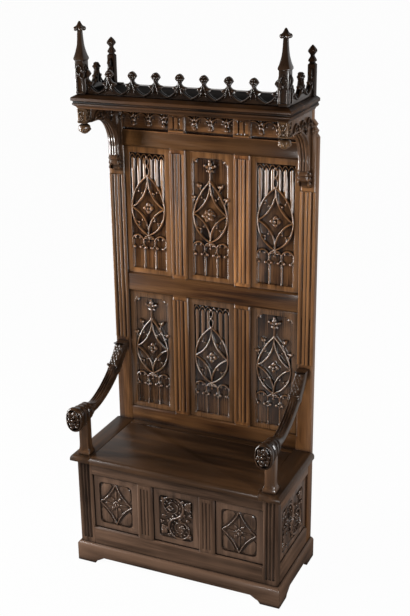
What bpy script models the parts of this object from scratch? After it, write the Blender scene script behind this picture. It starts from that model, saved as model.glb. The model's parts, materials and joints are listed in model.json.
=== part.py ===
"""Neo-Gothic chest bench: a lidded chest seat with arms, a tracery back and a crested canopy.

Units are metres, +Z is up, the front faces -Y, and left is -X as seen from the front.
"""
import math

import bmesh
import bpy
from mathutils import Vector

# Overall sizes
CARCASS_WIDTH = 0.841
CHEST_DEPTH = 0.3827
ARM_OVERHANG = 0.0693
SEAT_HEIGHT = 0.480
ROOF_HEIGHT = 1.862
GAP = 0.0003

# Play in the joints, and how far cutting solids run past what they cut
PANEL_PLAY = 0.001
TENON_PLAY = 0.001
CUT_PAST = 0.020
CUT_PROUD = 0.001
LEVEL_STEP = 0.0001

# Frame members, panels and their grooves
FRAME_THICKNESS = 0.028
STILE_WIDTH = 0.062
MUNTIN_WIDTH = 0.068
PANEL_THICKNESS = 0.012
PANEL_RECESS = 0.008
GROOVE_DEPTH = 0.008
TENON_LENGTH = 0.007
CHAMFER = 0.0065
FLUTE_WIDTH = 0.008
FLUTE_PITCH = 0.014
FLUTE_DEPTH = 0.003
FLUTE_STOP = 0.014
FLUTE_COUNT = 3

# Carved fields
FIELD_MARGIN = 0.025
SIDE_FIELD_MARGIN = 0.040
FIELD_DEPTH = 0.006
FIELD_CORNER = 0.022
REEDED_FIELD_CORNER = 0.003
RIB_WIDTH = 0.0075
RIB_HEIGHT = 0.0052
THIN_RIB_WIDTH = 0.005
THIN_RIB_HEIGHT = 0.0046
ARCH_RIB_HEIGHT = 0.0042
REED_HEIGHT = 0.0035
RIB_EMBED = 0.002
REED_MARGIN = 0.012
BOSS_RADIUS = 0.014
BOSS_HEIGHT = 0.0056
DIAMOND_BOSS_RADIUS = 0.021
CROCKET_RADIUS = 0.005
CROCKET_HEIGHT = 0.004
CROCKET_OFFSET = 0.008
FINIAL_REACH = 0.016
FINIAL_MARGIN = 0.010
SCROLL_MARGIN = 0.007
STEM_MARGIN = 0.010

# Plinth
PLINTH_HEIGHT = 0.086
PLINTH_THICKNESS = 0.013
PLINTH_BEVEL = 0.010
PLINTH_ARCH = 0.030
FOOT_LENGTH = 0.078
FOOT_SLOPE = 0.040

# Chest
CHEST_OPENING_BOTTOM = 0.160
CHEST_OPENING_TOP = 0.392
CHEST_RAIL_BOTTOM = 0.040
REAR_POST_DEPTH = 0.052
FLOOR_BOTTOM = 0.090
FLOOR_THICKNESS = 0.012
FLOOR_GROOVE = 0.006
BED_MOULD_HEIGHT = 0.014
BED_MOULD_REACH = 0.009
BED_MOULD_FILLET = 0.0015
BED_MOULD_EMBED = 0.004

# Seat and hinges
SEAT_THICKNESS = 0.024
SEAT_FRONT_OVERHANG = 0.030
SEAT_SIDE_OVERHANG = 0.017
SEAT_NOSING = 0.014
SEAT_END_WIDTH = 0.0855
LID_SIDE_CLEARANCE = 0.0008
HINGE_RAIL_DEPTH = 0.035
HINGE_JOINT = 0.002
HINGE_LENGTH = 0.060
HINGE_INSET = 0.110
BARREL_RADIUS = 0.0032
PIN_RADIUS = 0.0013
LEAF_THICKNESS = 0.0016
LEAF_HEIGHT = 0.018
LEAF_SPACE = 0.0012

# Arms, measured from the seat top
ARM_INSET = 0.0345
ARM_WIDTH = 0.040
ARM_CURVE_RADIUS = 0.385
ARM_END_SLOPE = math.radians(56.0)
ARM_FRONT_SLOPE = math.radians(13.0)
ARM_END_PAST = math.radians(9.0)
ARM_COLLAR_SETBACK = 0.041
ARM_COLLAR_RISE = 0.350
ARM_THICK_REAR = 0.048
ARM_THICK_FRONT = 0.031
KNUCKLE_RISE = 0.175
KNUCKLE_LENGTH = 0.128
ROSETTE_WIDTH = 0.062
ROSETTE_HEIGHT = 0.100
ARM_POST_SETBACK = 0.0430
ARM_POST_WIDTH = 0.038
ARM_POST_DEPTH = 0.032
ARM_POST_RISE = 0.165
ARM_POST_FLARE = 0.0065
ARM_POST_BASE = 0.045

# Back
BOTTOM_RAIL_ABOVE_SEAT = 0.062
BOTTOM_RAIL_BELOW_SEAT = 0.050
MIDDLE_RAIL_HEIGHT = 0.078
TOP_RAIL_HEIGHT = 0.060
HEAD_BOARD_HEIGHT = 0.172
BACK_BOARD_BOTTOM = 0.050

# Frieze sunk into the head board, with its drops between round arches
FRIEZE_DEPTH = 0.008
FRIEZE_MARGIN = 0.014
FRIEZE_CROWN_RISE = 0.066
FRIEZE_SPRING_RISE = 0.040
FRIEZE_TIP_RISE = 0.022
FRIEZE_DROPS = 3
DROP_WIDTH = 0.011

# Canopy
CANOPY_SIDE_SETBACK = 0.0225
CANOPY_DEPTH = 0.280
CANOPY_BOARD_THICKNESS = 0.020
CORNICE_HEIGHT = 0.050
CORNICE_REACH = 0.0185
CORNER_INSET = 0.015
SHOULDER_TOP_DROP = 0.084
SHOULDER_HEIGHT = 0.064
STILE_HEAD = 0.004
PENDANT_WIDTH = 0.033
PENDANT_BLOCK_DROP = 0.104
PENDANT_BUD_RADIUS = 0.0225
PENDANT_TIP_DROP = 0.1435
PENDANT_SPIGOT_INSET = 0.001
PENDANT_SPIGOT_EMBED = 0.010
BRACKET_THICKNESS = 0.034
BRACKET_CROWN_DROP = 0.105
BRACKET_ARCH_HEIGHT = 0.120
BRACKET_ARCH_REACH = 0.117
BRACKET_LEG = 0.036
BRACKET_FOOT_DROP = 0.262
BRACKET_TOE_DROP = 0.330

# Cresting and pinnacles, measured from the roof
CREST_THICKNESS = 0.012
CREST_HEIGHT = 0.088
CREST_DIP = 0.006
SIDE_CREST_LIFT = 0.008
CREST_PITCH = 0.091
PINNACLE_WIDTH = 0.038
PINNACLE_SHAFT = 0.108
PINNACLE_HEIGHT = 0.253
NICHE_DEPTH = 0.003
NICHE_HALF_WIDTH = 0.0114
NICHE_HEAD_MARGIN = 0.006
NICHE_FOOT_MARGIN = 0.012
NICHE_SPACING = 0.006
UPPER_NICHE_HEIGHT = 0.036
REAR_PINNACLE_WIDTH = 0.026
REAR_PINNACLE_INSET = 0.005
REAR_PINNACLE_SETBACK = 0.0237
REAR_PINNACLE_SHAFT = 0.106
REAR_PINNACLE_HEIGHT = 0.173

# Places worked out from the sizes above
HALF_WIDTH = CARCASS_WIDTH / 2
REAR_Y = (CHEST_DEPTH + ARM_OVERHANG) / 2
ARM_FRONT_Y = -REAR_Y
CHEST_FRONT_Y = REAR_Y - CHEST_DEPTH
BACK_FRONT_Y = REAR_Y - FRAME_THICKNESS
REAR_POST_Y = REAR_Y - REAR_POST_DEPTH
CHEST_TOP = SEAT_HEIGHT - SEAT_THICKNESS
OPENING_EDGE = HALF_WIDTH - STILE_WIDTH
OPENING_WIDTH = (2 * OPENING_EDGE - 2 * MUNTIN_WIDTH) / 3
OPENING_PITCH = OPENING_WIDTH + MUNTIN_WIDTH
OPENING_CENTRES = {"left": -OPENING_PITCH, "centre": 0.0, "right": OPENING_PITCH}
MUNTIN_CENTRES = {"left": -OPENING_PITCH / 2, "right": OPENING_PITCH / 2}
SIDE_OPENING_FRONT = CHEST_FRONT_Y + FRAME_THICKNESS
SEAT_HALF_WIDTH = HALF_WIDTH + SEAT_SIDE_OVERHANG
SEAT_FRONT_Y = CHEST_FRONT_Y - SEAT_FRONT_OVERHANG
SEAT_END_INNER = SEAT_HALF_WIDTH - SEAT_END_WIDTH
HINGE_AXIS_Y = BACK_FRONT_Y - GAP - HINGE_RAIL_DEPTH - HINGE_JOINT / 2
ARM_X = HALF_WIDTH - ARM_INSET
ARM_POST_Y = SEAT_FRONT_Y + ARM_POST_SETBACK
CANOPY_FRONT_Y = REAR_Y - CANOPY_DEPTH
CANOPY_HALF_WIDTH = HALF_WIDTH - CANOPY_SIDE_SETBACK
CORNER_X = CANOPY_HALF_WIDTH - CORNER_INSET
CORNER_Y = CANOPY_FRONT_Y + CORNER_INSET
REAR_PINNACLE_X = CANOPY_HALF_WIDTH - REAR_PINNACLE_INSET
REAR_PINNACLE_Y = REAR_Y - REAR_PINNACLE_SETBACK
CANOPY_UNDERSIDE = ROOF_HEIGHT - CANOPY_BOARD_THICKNESS
CORNICE_BOTTOM = ROOF_HEIGHT - CORNICE_HEIGHT
BACK_TOP_RAIL_TOP = ROOF_HEIGHT - HEAD_BOARD_HEIGHT
BACK_BOTTOM_RAIL_LOW = SEAT_HEIGHT - BOTTOM_RAIL_BELOW_SEAT
BACK_LOWER_OPENING_BOTTOM = SEAT_HEIGHT + BOTTOM_RAIL_ABOVE_SEAT
BACK_UPPER_OPENING_TOP = BACK_TOP_RAIL_TOP - TOP_RAIL_HEIGHT
BACK_OPENING_HEIGHT = (BACK_UPPER_OPENING_TOP - BACK_LOWER_OPENING_BOTTOM - MIDDLE_RAIL_HEIGHT) / 2
BACK_LOWER_OPENING_TOP = BACK_LOWER_OPENING_BOTTOM + BACK_OPENING_HEIGHT
BACK_UPPER_OPENING_BOTTOM = BACK_LOWER_OPENING_TOP + MIDDLE_RAIL_HEIGHT
SIDES = {"left": -1, "right": 1}

# Finishes: linear colour, roughness, metallic
FRAME_WOOD = ((0.092, 0.044, 0.021), 0.42, 0.0)
PANEL_WOOD = ((0.062, 0.032, 0.018), 0.38, 0.0)
SEAT_WOOD = ((0.060, 0.034, 0.021), 0.36, 0.0)
CANOPY_WOOD = ((0.050, 0.028, 0.016), 0.40, 0.0)
HIDDEN_WOOD = ((0.130, 0.075, 0.040), 0.65, 0.0)
DARK_IRON = ((0.070, 0.060, 0.050), 0.45, 1.0)


class Face:
    """A flat side of the bench: across and up along it, inward into the wood."""

    def __init__(self, origin, across, inward):
        self.origin = Vector(origin)
        self.across = Vector(across)
        self.inward = Vector(inward)

    def at(self, across, up, inward):
        """Return the world point at these distances along the side."""
        return self.origin + self.across * across + Vector((0, 0, up)) + self.inward * inward


BACK = Face((0, BACK_FRONT_Y, 0), (1, 0, 0), (0, 1, 0))
FRONT = Face((0, CHEST_FRONT_Y, 0), (1, 0, 0), (0, 1, 0))
SIDE_FACES = {
    "left": Face((-HALF_WIDTH, 0, 0), (0, 1, 0), (1, 0, 0)),
    "right": Face((HALF_WIDTH, 0, 0), (0, 1, 0), (-1, 0, 0)),
}


def clear_scene():
    """Remove every object that the file starts with."""
    for item in list(bpy.data.objects):
        bpy.data.objects.remove(item)


def make_finish(name, finish):
    """Make one Principled material from a colour, a roughness and a metallic value."""
    colour, roughness, metallic = finish
    material = bpy.data.materials.new(name + "_finish")
    material.use_nodes = True
    shader = material.node_tree.nodes["Principled BSDF"]
    shader.inputs["Base Color"].default_value = (*colour, 1.0)
    shader.inputs["Roughness"].default_value = roughness
    shader.inputs["Metallic"].default_value = metallic
    material.diffuse_color = (*colour, 1.0)
    return material


def make_piece(name, solid, finish):
    """Turn a solid into a named object, with its faces turned outward."""
    bmesh.ops.recalc_face_normals(solid, faces=solid.faces)
    mesh = bpy.data.meshes.new(name)
    solid.to_mesh(mesh)
    solid.free()
    piece = bpy.data.objects.new(name, mesh)
    bpy.context.scene.collection.objects.link(piece)
    if finish:
        mesh.materials.append(make_finish(name, finish))
    return piece


def shape(piece, tool_solid, operation):
    """Cut a solid out of a piece or join it on, then drop the tool."""
    tool = make_piece(piece.name + "_tool", tool_solid, None)
    step = piece.modifiers.new("shape", "BOOLEAN")
    step.operation = operation
    step.solver = "EXACT"
    step.use_self = operation == "UNION"
    step.object = tool
    view = bpy.context.evaluated_depsgraph_get()
    shaped = bpy.data.meshes.new_from_object(piece.evaluated_get(view))
    piece.modifiers.clear()
    piece.data = shaped
    bpy.data.objects.remove(tool)
    return piece


def add_loft(solid, rings):
    """Add a closed solid through rings of points that have the same count."""
    rows = [[solid.verts.new(point) for point in ring] for ring in rings]
    for near, far in zip(rows, rows[1:]):
        for index in range(len(near)):
            after = (index + 1) % len(near)
            solid.faces.new((near[index], near[after], far[after], far[index]))
    solid.faces.new(rows[0])
    solid.faces.new(rows[-1])


def add_box(solid, low, high):
    """Add a box between two corners."""
    rings = []
    for z in (low[2], high[2]):
        ring = [(low[0], low[1], z), (high[0], low[1], z), (high[0], high[1], z), (low[0], high[1], z)]
        rings.append(ring)
    add_loft(solid, rings)


def add_block(solid, face, across, up, inward):
    """Add a box given as three ranges along a side."""
    rings = []
    for depth in inward:
        corners = ((0, 0), (1, 0), (1, 1), (0, 1))
        rings.append([face.at(across[a], up[b], depth) for a, b in corners])
    add_loft(solid, rings)


def add_taper(solid, face, across, up, inward, shrink):
    """Add a block whose deep end is smaller by a margin all round."""
    rings = []
    for depth, inset in zip(inward, (0.0, shrink)):
        left, right = across[0] + inset, across[1] - inset
        low, high = up[0] + inset, up[1] - inset
        corners = ((left, low), (right, low), (right, high), (left, high))
        rings.append([face.at(a, b, depth) for a, b in corners])
    add_loft(solid, rings)


def add_plate(solid, face, outline, inward):
    """Add a flat plate with an outline drawn on a side."""
    rings = [[face.at(a, b, depth) for a, b in outline] for depth in inward]
    add_loft(solid, rings)


def add_rib(solid, face, path, width, inward):
    """Add a rib with slanted flanks along a path drawn on a side."""
    deep, proud = inward
    points = [Vector(point) for point in path]
    rings = []
    for index, point in enumerate(points):
        before = points[max(index - 1, 0)]
        after = points[min(index + 1, len(points) - 1)]
        run = (after - before).normalized()
        normal = Vector((-run.y, run.x))
        wide, narrow = normal * width / 2, normal * width / 4
        ring = [face.at(*(point + wide), deep), face.at(*(point - wide), deep)]
        ring += [face.at(*(point - narrow), proud), face.at(*(point + narrow), proud)]
        rings.append(ring)
    add_loft(solid, rings)


def add_disc(solid, face, centre, radii, inward, sides=8):
    """Add a round boss whose radius changes between two depths."""
    rings = []
    for depth, radius in zip(inward, radii):
        turns = [2 * math.pi * (index + 0.5) / sides for index in range(sides)]
        rings.append([face.at(centre[0] + radius * math.cos(t), centre[1] + radius * math.sin(t), depth)
                      for t in turns])
    add_loft(solid, rings)


def cut_away(solid, point, normal):
    """Cut a solid with a plane, drop the part that the normal points to and close the cut."""
    everything = solid.verts[:] + solid.edges[:] + solid.faces[:]
    cut = bmesh.ops.bisect_plane(solid, geom=everything, plane_co=point, plane_no=normal, clear_outer=True)
    rim = [item for item in cut["geom_cut"] if isinstance(item, bmesh.types.BMEdge)]
    bmesh.ops.contextual_create(solid, geom=rim)


def bulge(start, end, rise, steps):
    """Return points on an arc from start to end that rises to the left of the chord."""
    start, end = Vector(start), Vector(end)
    run = end - start
    half = run.length / 2
    radius = (half * half + rise * rise) / (2 * abs(rise))
    normal = Vector((-run.y, run.x)).normalized() * (1 if rise > 0 else -1)
    centre = start + run / 2 - normal * (radius - abs(rise))
    sweep = math.asin(half / radius)
    along = run.normalized()
    points = []
    for index in range(steps + 1):
        turn = sweep * (2 * index / steps - 1)
        points.append(centre + along * radius * math.sin(turn) + normal * radius * math.cos(turn))
    return points


def mirrored(points):
    """Return a path with its across distances turned round."""
    return [(-point[0], point[1]) for point in points]


def spiral(centre, radius, start, turns, steps):
    """Return points that wind inward round a centre."""
    points = []
    for index in range(steps + 1):
        share = index / steps
        angle = start + 2 * math.pi * turns * share
        reach = radius * (1 - 0.75 * share)
        points.append((centre[0] + reach * math.cos(angle), centre[1] + reach * math.sin(angle)))
    return points


def mitred_sweep(solid, path, profile):
    """Sweep a profile of reach and height along a flat path, with mitred corners."""
    points = [Vector(point) for point in path]
    rings = []
    for index, point in enumerate(points):
        normals = []
        for start, end in ((index - 1, index), (index, index + 1)):
            if 0 <= start and end < len(points):
                run = (points[end] - points[start]).normalized()
                normals.append(Vector((run.y, -run.x)))
        first, last = normals[0], normals[-1]
        miter = (first + last) / (1 + first.dot(last))
        rings.append([(*(point + miter * reach), height) for reach, height in profile])
    add_loft(solid, rings)


def groove_range():
    """Return the depth range of the groove that holds a panel."""
    return PANEL_RECESS - GAP, PANEL_RECESS + PANEL_THICKNESS + GAP


def tenon_range():
    """Return the depth range of a stub tenon that fits the groove."""
    return PANEL_RECESS, PANEL_RECESS + PANEL_THICKNESS


def add_chamfers(solid, face, openings):
    """Add the cutters that slope the edges round each opening."""
    for across, up in openings:
        reach = CHAMFER + CUT_PROUD
        wide = (across[0] - reach, across[1] + reach)
        tall = (up[0] - reach, up[1] + reach)
        add_taper(solid, face, wide, tall, (-CUT_PROUD, reach), reach + CUT_PROUD)


def add_flutes(solid, face, centre, up):
    """Add the cutters of a row of stopped upright flutes."""
    slope = FLUTE_WIDTH * 0.38
    for index in range(FLUTE_COUNT):
        middle = centre + (index - (FLUTE_COUNT - 1) / 2) * FLUTE_PITCH
        across = (middle - FLUTE_WIDTH / 2, middle + FLUTE_WIDTH / 2)
        add_taper(solid, face, across, up, (-CUT_PROUD, FLUTE_DEPTH), slope)


def back_openings():
    """Return the six openings of the back as ranges across and up."""
    tiers = ((BACK_LOWER_OPENING_BOTTOM, BACK_LOWER_OPENING_TOP),
             (BACK_UPPER_OPENING_BOTTOM, BACK_UPPER_OPENING_TOP))
    return [(opening_range(name), tier) for tier in tiers for name in OPENING_CENTRES]


def chest_openings():
    """Return the three openings of the chest front."""
    return [(opening_range(name), (CHEST_OPENING_BOTTOM, CHEST_OPENING_TOP)) for name in OPENING_CENTRES]


def opening_range(name):
    """Return an opening's range across the front."""
    middle = OPENING_CENTRES[name]
    return middle - OPENING_WIDTH / 2, middle + OPENING_WIDTH / 2


def make_rail(name, face, across, up, grooved, openings, extra=None):
    """Make a level frame member with stub tenons, panel grooves and chamfered edges."""
    solid = bmesh.new()
    span = (across[0] + GAP, across[1] - GAP)
    add_block(solid, face, span, up, (0, FRAME_THICKNESS))
    rail = make_piece(name, solid, FRAME_WOOD)
    tenon = bmesh.new()
    shoulder = GROOVE_DEPTH + TENON_PLAY
    height = (up[0] + shoulder, up[1] - shoulder)
    add_block(tenon, face, (across[0] - TENON_LENGTH, across[1] + TENON_LENGTH), height, tenon_range())
    shape(rail, tenon, "UNION")
    if extra:
        shape(rail, extra, "UNION")
    tool = bmesh.new()
    low = (up[0] - CUT_PAST, up[0] + GROOVE_DEPTH)
    high = (up[1] - GROOVE_DEPTH, up[1] + CUT_PAST)
    bands = {"low": low, "high": high}
    for edge in grooved:
        add_block(tool, face, (span[0] - CUT_PAST, span[1] + CUT_PAST), bands[edge], groove_range())
    add_chamfers(tool, face, openings)
    return shape(rail, tool, "DIFFERENCE")


def make_muntin(name, face, centre, up, openings):
    """Make an upright between two rails, with tenons, grooves, chamfers and flutes."""
    solid = bmesh.new()
    across = (centre - MUNTIN_WIDTH / 2, centre + MUNTIN_WIDTH / 2)
    span = (up[0] + GAP, up[1] - GAP)
    add_block(solid, face, across, span, (0, FRAME_THICKNESS))
    muntin = make_piece(name, solid, FRAME_WOOD)
    tenon = bmesh.new()
    shoulder = GROOVE_DEPTH + TENON_PLAY
    width = (across[0] + shoulder, across[1] - shoulder)
    add_block(tenon, face, width, (up[0] - TENON_LENGTH, up[1] + TENON_LENGTH), tenon_range())
    shape(muntin, tenon, "UNION")
    tool = bmesh.new()
    left = (across[0] - CUT_PAST, across[0] + GROOVE_DEPTH)
    right = (across[1] - GROOVE_DEPTH, across[1] + CUT_PAST)
    for band in (left, right):
        add_block(tool, face, band, (span[0] - CUT_PAST, span[1] + CUT_PAST), groove_range())
    add_chamfers(tool, face, openings)
    add_flutes(tool, face, centre, (up[0] + FLUTE_STOP, up[1] - FLUTE_STOP))
    return shape(muntin, tool, "DIFFERENCE")


def rounded_field(across, up, corner):
    """Return a rectangle whose corners are rounded inward to a radius."""
    steps = 3
    outline = []
    corners = ((1, 1, 0.0), (-1, 1, 0.5), (-1, -1, 1.0), (1, -1, 1.5))
    for sign_a, sign_b, turn in corners:
        centre_a = (across[1] - corner) if sign_a > 0 else (across[0] + corner)
        centre_b = (up[1] - corner) if sign_b > 0 else (up[0] + corner)
        for index in range(steps + 1):
            angle = math.pi * (turn + 0.5 * index / steps)
            outline.append((centre_a + corner * math.cos(angle), centre_b + corner * math.sin(angle)))
    return outline


def make_panel(name, face, across, up, margins, corner, draw):
    """Make a panel that sits in its grooves, with a sunk field and carving that stands in it."""
    reach = GROOVE_DEPTH - PANEL_PLAY
    solid = bmesh.new()
    board = (PANEL_RECESS, PANEL_RECESS + PANEL_THICKNESS)
    add_block(solid, face, (across[0] - reach, across[1] + reach), (up[0] - reach, up[1] + reach), board)
    panel = make_piece(name, solid, PANEL_WOOD)
    field_across = (across[0] + margins[0], across[1] - margins[0])
    field_up = (up[0] + margins[1], up[1] - margins[1])
    floor = PANEL_RECESS + FIELD_DEPTH
    tool = bmesh.new()
    outline = rounded_field(field_across, field_up, corner)
    add_plate(tool, face, outline, (PANEL_RECESS - CUT_PROUD, floor))
    shape(panel, tool, "DIFFERENCE")
    carving = bmesh.new()
    centre = (field_across[0] + field_across[1]) / 2
    size = (field_across[1] - field_across[0], field_up[1] - field_up[0])
    draw(Carving(carving, face, (centre, field_up[0]), floor), size)
    return shape(panel, carving, "UNION")


class Carving:
    """Relief drawn in a panel's field, from the middle of its lower edge."""

    def __init__(self, solid, face, origin, floor):
        self.solid = solid
        self.face = face
        self.origin = origin
        self.floor = floor

    def rib(self, path, width, height):
        """Add a rib along a path, with its height above the field."""
        moved = [(self.origin[0] + point[0], self.origin[1] + point[1]) for point in path]
        add_rib(self.solid, self.face, moved, width, (self.floor + RIB_EMBED, self.floor - height))

    def both(self, path, width, height):
        """Add a rib and its mirror image."""
        self.rib(path, width, height)
        self.rib(mirrored(path), width, height - LEVEL_STEP)

    def boss(self, centre, radius, height):
        """Add a round boss that narrows toward its top."""
        place = (self.origin[0] + centre[0], self.origin[1] + centre[1])
        depths = (self.floor + RIB_EMBED, self.floor - height)
        add_disc(self.solid, self.face, place, (radius, radius * 0.72), depths)


def draw_lozenge(carving, size):
    """Draw the four leaf shapes round a boss, and return the lozenge's points."""
    half, height = size[0] / 2, size[1]
    side = (half + RIB_WIDTH / 4, height * 0.53)
    top = (0.0, height * 0.82)
    bottom = (0.0, height * 0.305)
    rise = half * 0.30
    for tip, sign in ((top, 1), (bottom, -1)):
        level = RIB_HEIGHT + sign * LEVEL_STEP
        carving.both(bulge(side, tip, -sign * rise, 4), RIB_WIDTH, level)
        carving.both(bulge(side, tip, sign * rise, 4), RIB_WIDTH, level - 4 * LEVEL_STEP)
    carving.boss((0.0, side[1]), BOSS_RADIUS, BOSS_HEIGHT)
    return side, top, bottom


def draw_window(carving, size, bottom):
    """Draw the three arched lights and two mullions below the lozenge."""
    half, height = size[0] / 2, size[1]
    light = 2 * half / 3
    spring = height * 0.175
    crown = bottom[1] - RIB_WIDTH
    for index in (-1, 0, 1):
        left = (index - 0.5) * light
        arch = [(left + light * step / 4, spring + (crown - spring) * math.sin(math.pi * step / 4))
                for step in range(5)]
        carving.rib(arch, THIN_RIB_WIDTH, ARCH_RIB_HEIGHT + LEVEL_STEP * index)
    for mullion in (-light / 2, light / 2):
        carving.rib([(mullion, -RIB_EMBED), (mullion, spring + RIB_WIDTH)], THIN_RIB_WIDTH, THIN_RIB_HEIGHT)


def draw_reeded_tracery(carving, size):
    """Draw the lozenge with upright reeds behind its upper half."""
    side, top, bottom = draw_lozenge(carving, size)
    draw_window(carving, size, bottom)
    half, height = size[0] / 2, size[1]
    for share in (-0.68, -0.34, 0.34, 0.68):
        foot = side[1] + (top[1] - side[1]) * (1.0 - abs(share)) * 1.02
        carving.rib([(share * half, foot), (share * half, height - REED_MARGIN)], THIN_RIB_WIDTH, REED_HEIGHT)
    stem = [(0.0, top[1] - RIB_WIDTH), (0.0, height + RIB_EMBED)]
    carving.rib(stem, THIN_RIB_WIDTH, THIN_RIB_HEIGHT + LEVEL_STEP)


def draw_crocketed_tracery(carving, size):
    """Draw the lozenge with a stem and a cross finial on a plain ground."""
    side, top, bottom = draw_lozenge(carving, size)
    draw_window(carving, size, bottom)
    height = size[1]
    finial = top[1] + (height - top[1]) * 0.62
    stem = [(0.0, top[1] - RIB_WIDTH), (0.0, height - FINIAL_MARGIN)]
    carving.rib(stem, THIN_RIB_WIDTH, THIN_RIB_HEIGHT + LEVEL_STEP)
    carving.rib([(-FINIAL_REACH, finial), (FINIAL_REACH, finial)], RIB_WIDTH, THIN_RIB_HEIGHT - LEVEL_STEP)
    for share in (0.35, 0.68):
        across = side[0] * share + CROCKET_OFFSET
        up = side[1] + (top[1] - side[1]) * (1.12 - share)
        for sign in SIDES.values():
            carving.boss((sign * across, up), CROCKET_RADIUS, CROCKET_HEIGHT)


def draw_diamond(carving, size):
    """Draw a diamond with hollow sides round a large rosette."""
    half, height = size[0] / 2, size[1]
    middle = height / 2
    side = (half + RIB_WIDTH / 4, middle)
    for tip in ((0.0, height + RIB_WIDTH / 4), (0.0, -RIB_WIDTH / 4)):
        sign = 1 if tip[1] > middle else -1
        carving.both(bulge(side, tip, sign * half * 0.17, 4), RIB_WIDTH, RIB_HEIGHT + sign * LEVEL_STEP)
    carving.boss((0.0, middle), DIAMOND_BOSS_RADIUS, BOSS_HEIGHT)


def draw_scrolls(carving, size):
    """Draw two leafy scrolls that turn opposite ways about the field's middle."""
    half, height = size[0] / 2, size[1]
    reach = min(half * 0.48, height * 0.27)
    for sign in (1, -1):
        inset = reach + SCROLL_MARGIN
        centre = (sign * (half - inset), height / 2 + sign * (height / 2 - inset))
        path = spiral(centre, reach, -sign * math.pi / 2, sign * 1.1, 9)
        carving.rib(path, RIB_WIDTH, RIB_HEIGHT + sign * LEVEL_STEP)
        carving.boss(centre, reach * 0.30, BOSS_HEIGHT)
        leaf = (-centre[0], centre[1])
        carving.boss(leaf, reach * 0.55, THIN_RIB_HEIGHT)
    edge = half - STEM_MARGIN
    stem = bulge((edge, height * 0.30), (-edge, height * 0.70), half * 0.20, 4)
    carving.rib(stem, RIB_WIDTH, ARCH_RIB_HEIGHT)


def make_plinth():
    """Make the three plinth boards with bracket feet and mitred corners."""
    outer_x = HALF_WIDTH + GAP + PLINTH_THICKNESS
    outer_y = CHEST_FRONT_Y - GAP - PLINTH_THICKNESS
    inward = (-GAP - PLINTH_THICKNESS, -GAP)
    front = bmesh.new()
    add_plate(front, FRONT, plinth_outline(-outer_x, outer_x), inward)
    soften_plinth(front, lambda point: point.y < outer_y + 1e-6)
    for sign in SIDES.values():
        cut_away(front, (sign * (outer_x - GAP), outer_y, 0), (sign, 1, 0))
    make_piece("plinth_front", front, FRAME_WOOD)
    for name, sign in SIDES.items():
        side = bmesh.new()
        add_plate(side, SIDE_FACES[name], plinth_outline(outer_y, REAR_Y), inward)
        soften_plinth(side, lambda point: abs(point.x) > outer_x - 1e-6)
        cut_away(side, (sign * outer_x, outer_y, 0), (-sign, -1, 0))
        make_piece("plinth_" + name, side, FRAME_WOOD)


def plinth_outline(start, end):
    """Return a plinth board's outline, with an arch between two bracket feet."""
    foot = ((0.0, 0.0), (0.25, 0.45), (0.45, 0.55), (1.0, 1.0))
    near = [(start + FOOT_LENGTH + FOOT_SLOPE * run, PLINTH_ARCH * rise) for run, rise in foot]
    far = [(end - FOOT_LENGTH - FOOT_SLOPE * run, PLINTH_ARCH * rise) for run, rise in reversed(foot)]
    return [(start, PLINTH_HEIGHT), (start, 0.0), *near, *far, (end, 0.0), (end, PLINTH_HEIGHT)]


def soften_plinth(solid, outside):
    """Bevel the plinth's top outer edge."""
    edges = [edge for edge in solid.edges
             if all(vert.co.z > PLINTH_HEIGHT - 1e-6 and outside(vert.co) for vert in edge.verts)]
    bmesh.ops.bevel(solid, geom=edges, offset=PLINTH_BEVEL, segments=2, profile=0.35, affect="EDGES")


def bed_mould(path):
    """Return the small hollow moulding under the seat along a path."""
    solid = bmesh.new()
    low = CHEST_TOP - BED_MOULD_HEIGHT
    profile = [(-BED_MOULD_EMBED, low), (0.0, low)]
    for index in range(4):
        turn = math.pi / 2 * index / 3
        reach = BED_MOULD_FILLET + (BED_MOULD_REACH - BED_MOULD_FILLET) * (1 - math.cos(turn))
        profile.append((reach, low + BED_MOULD_HEIGHT * 0.75 * math.sin(turn)))
    profile += [(BED_MOULD_REACH, CHEST_TOP - GAP), (-BED_MOULD_EMBED, CHEST_TOP - GAP)]
    mitred_sweep(solid, path, profile)
    return solid


def make_front_posts():
    """Make the chest's front corner posts, which stand on the floor behind the plinth."""
    for name, sign in SIDES.items():
        inner, outer = sign * OPENING_EDGE, sign * HALF_WIDTH
        across = (min(inner, outer), max(inner, outer))
        solid = bmesh.new()
        add_block(solid, FRONT, across, (0.0, CHEST_TOP - GAP), (0, FRAME_THICKNESS))
        post = make_piece("chest_post_front_" + name, solid, FRAME_WOOD)
        path = [(inner, CHEST_FRONT_Y), (outer, CHEST_FRONT_Y), (outer, SIDE_OPENING_FRONT)]
        shape(post, bed_mould(path if sign > 0 else path[::-1]), "UNION")
        tool = bmesh.new()
        upright = (CHEST_RAIL_BOTTOM, CHEST_TOP - GROOVE_DEPTH)
        slot = (inner - sign * CUT_PAST, inner + sign * GROOVE_DEPTH)
        add_block(tool, FRONT, (min(slot), max(slot)), upright, groove_range())
        rear = (SIDE_OPENING_FRONT - GROOVE_DEPTH, SIDE_OPENING_FRONT + CUT_PAST)
        add_block(tool, SIDE_FACES[name], rear, upright, groove_range())
        add_chamfers(tool, FRONT, chest_openings())
        stops = (CHEST_OPENING_BOTTOM + FLUTE_STOP, CHEST_OPENING_TOP - FLUTE_STOP)
        add_flutes(tool, FRONT, sign * (HALF_WIDTH - STILE_WIDTH / 2), stops)
        shape(post, tool, "DIFFERENCE")


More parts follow.
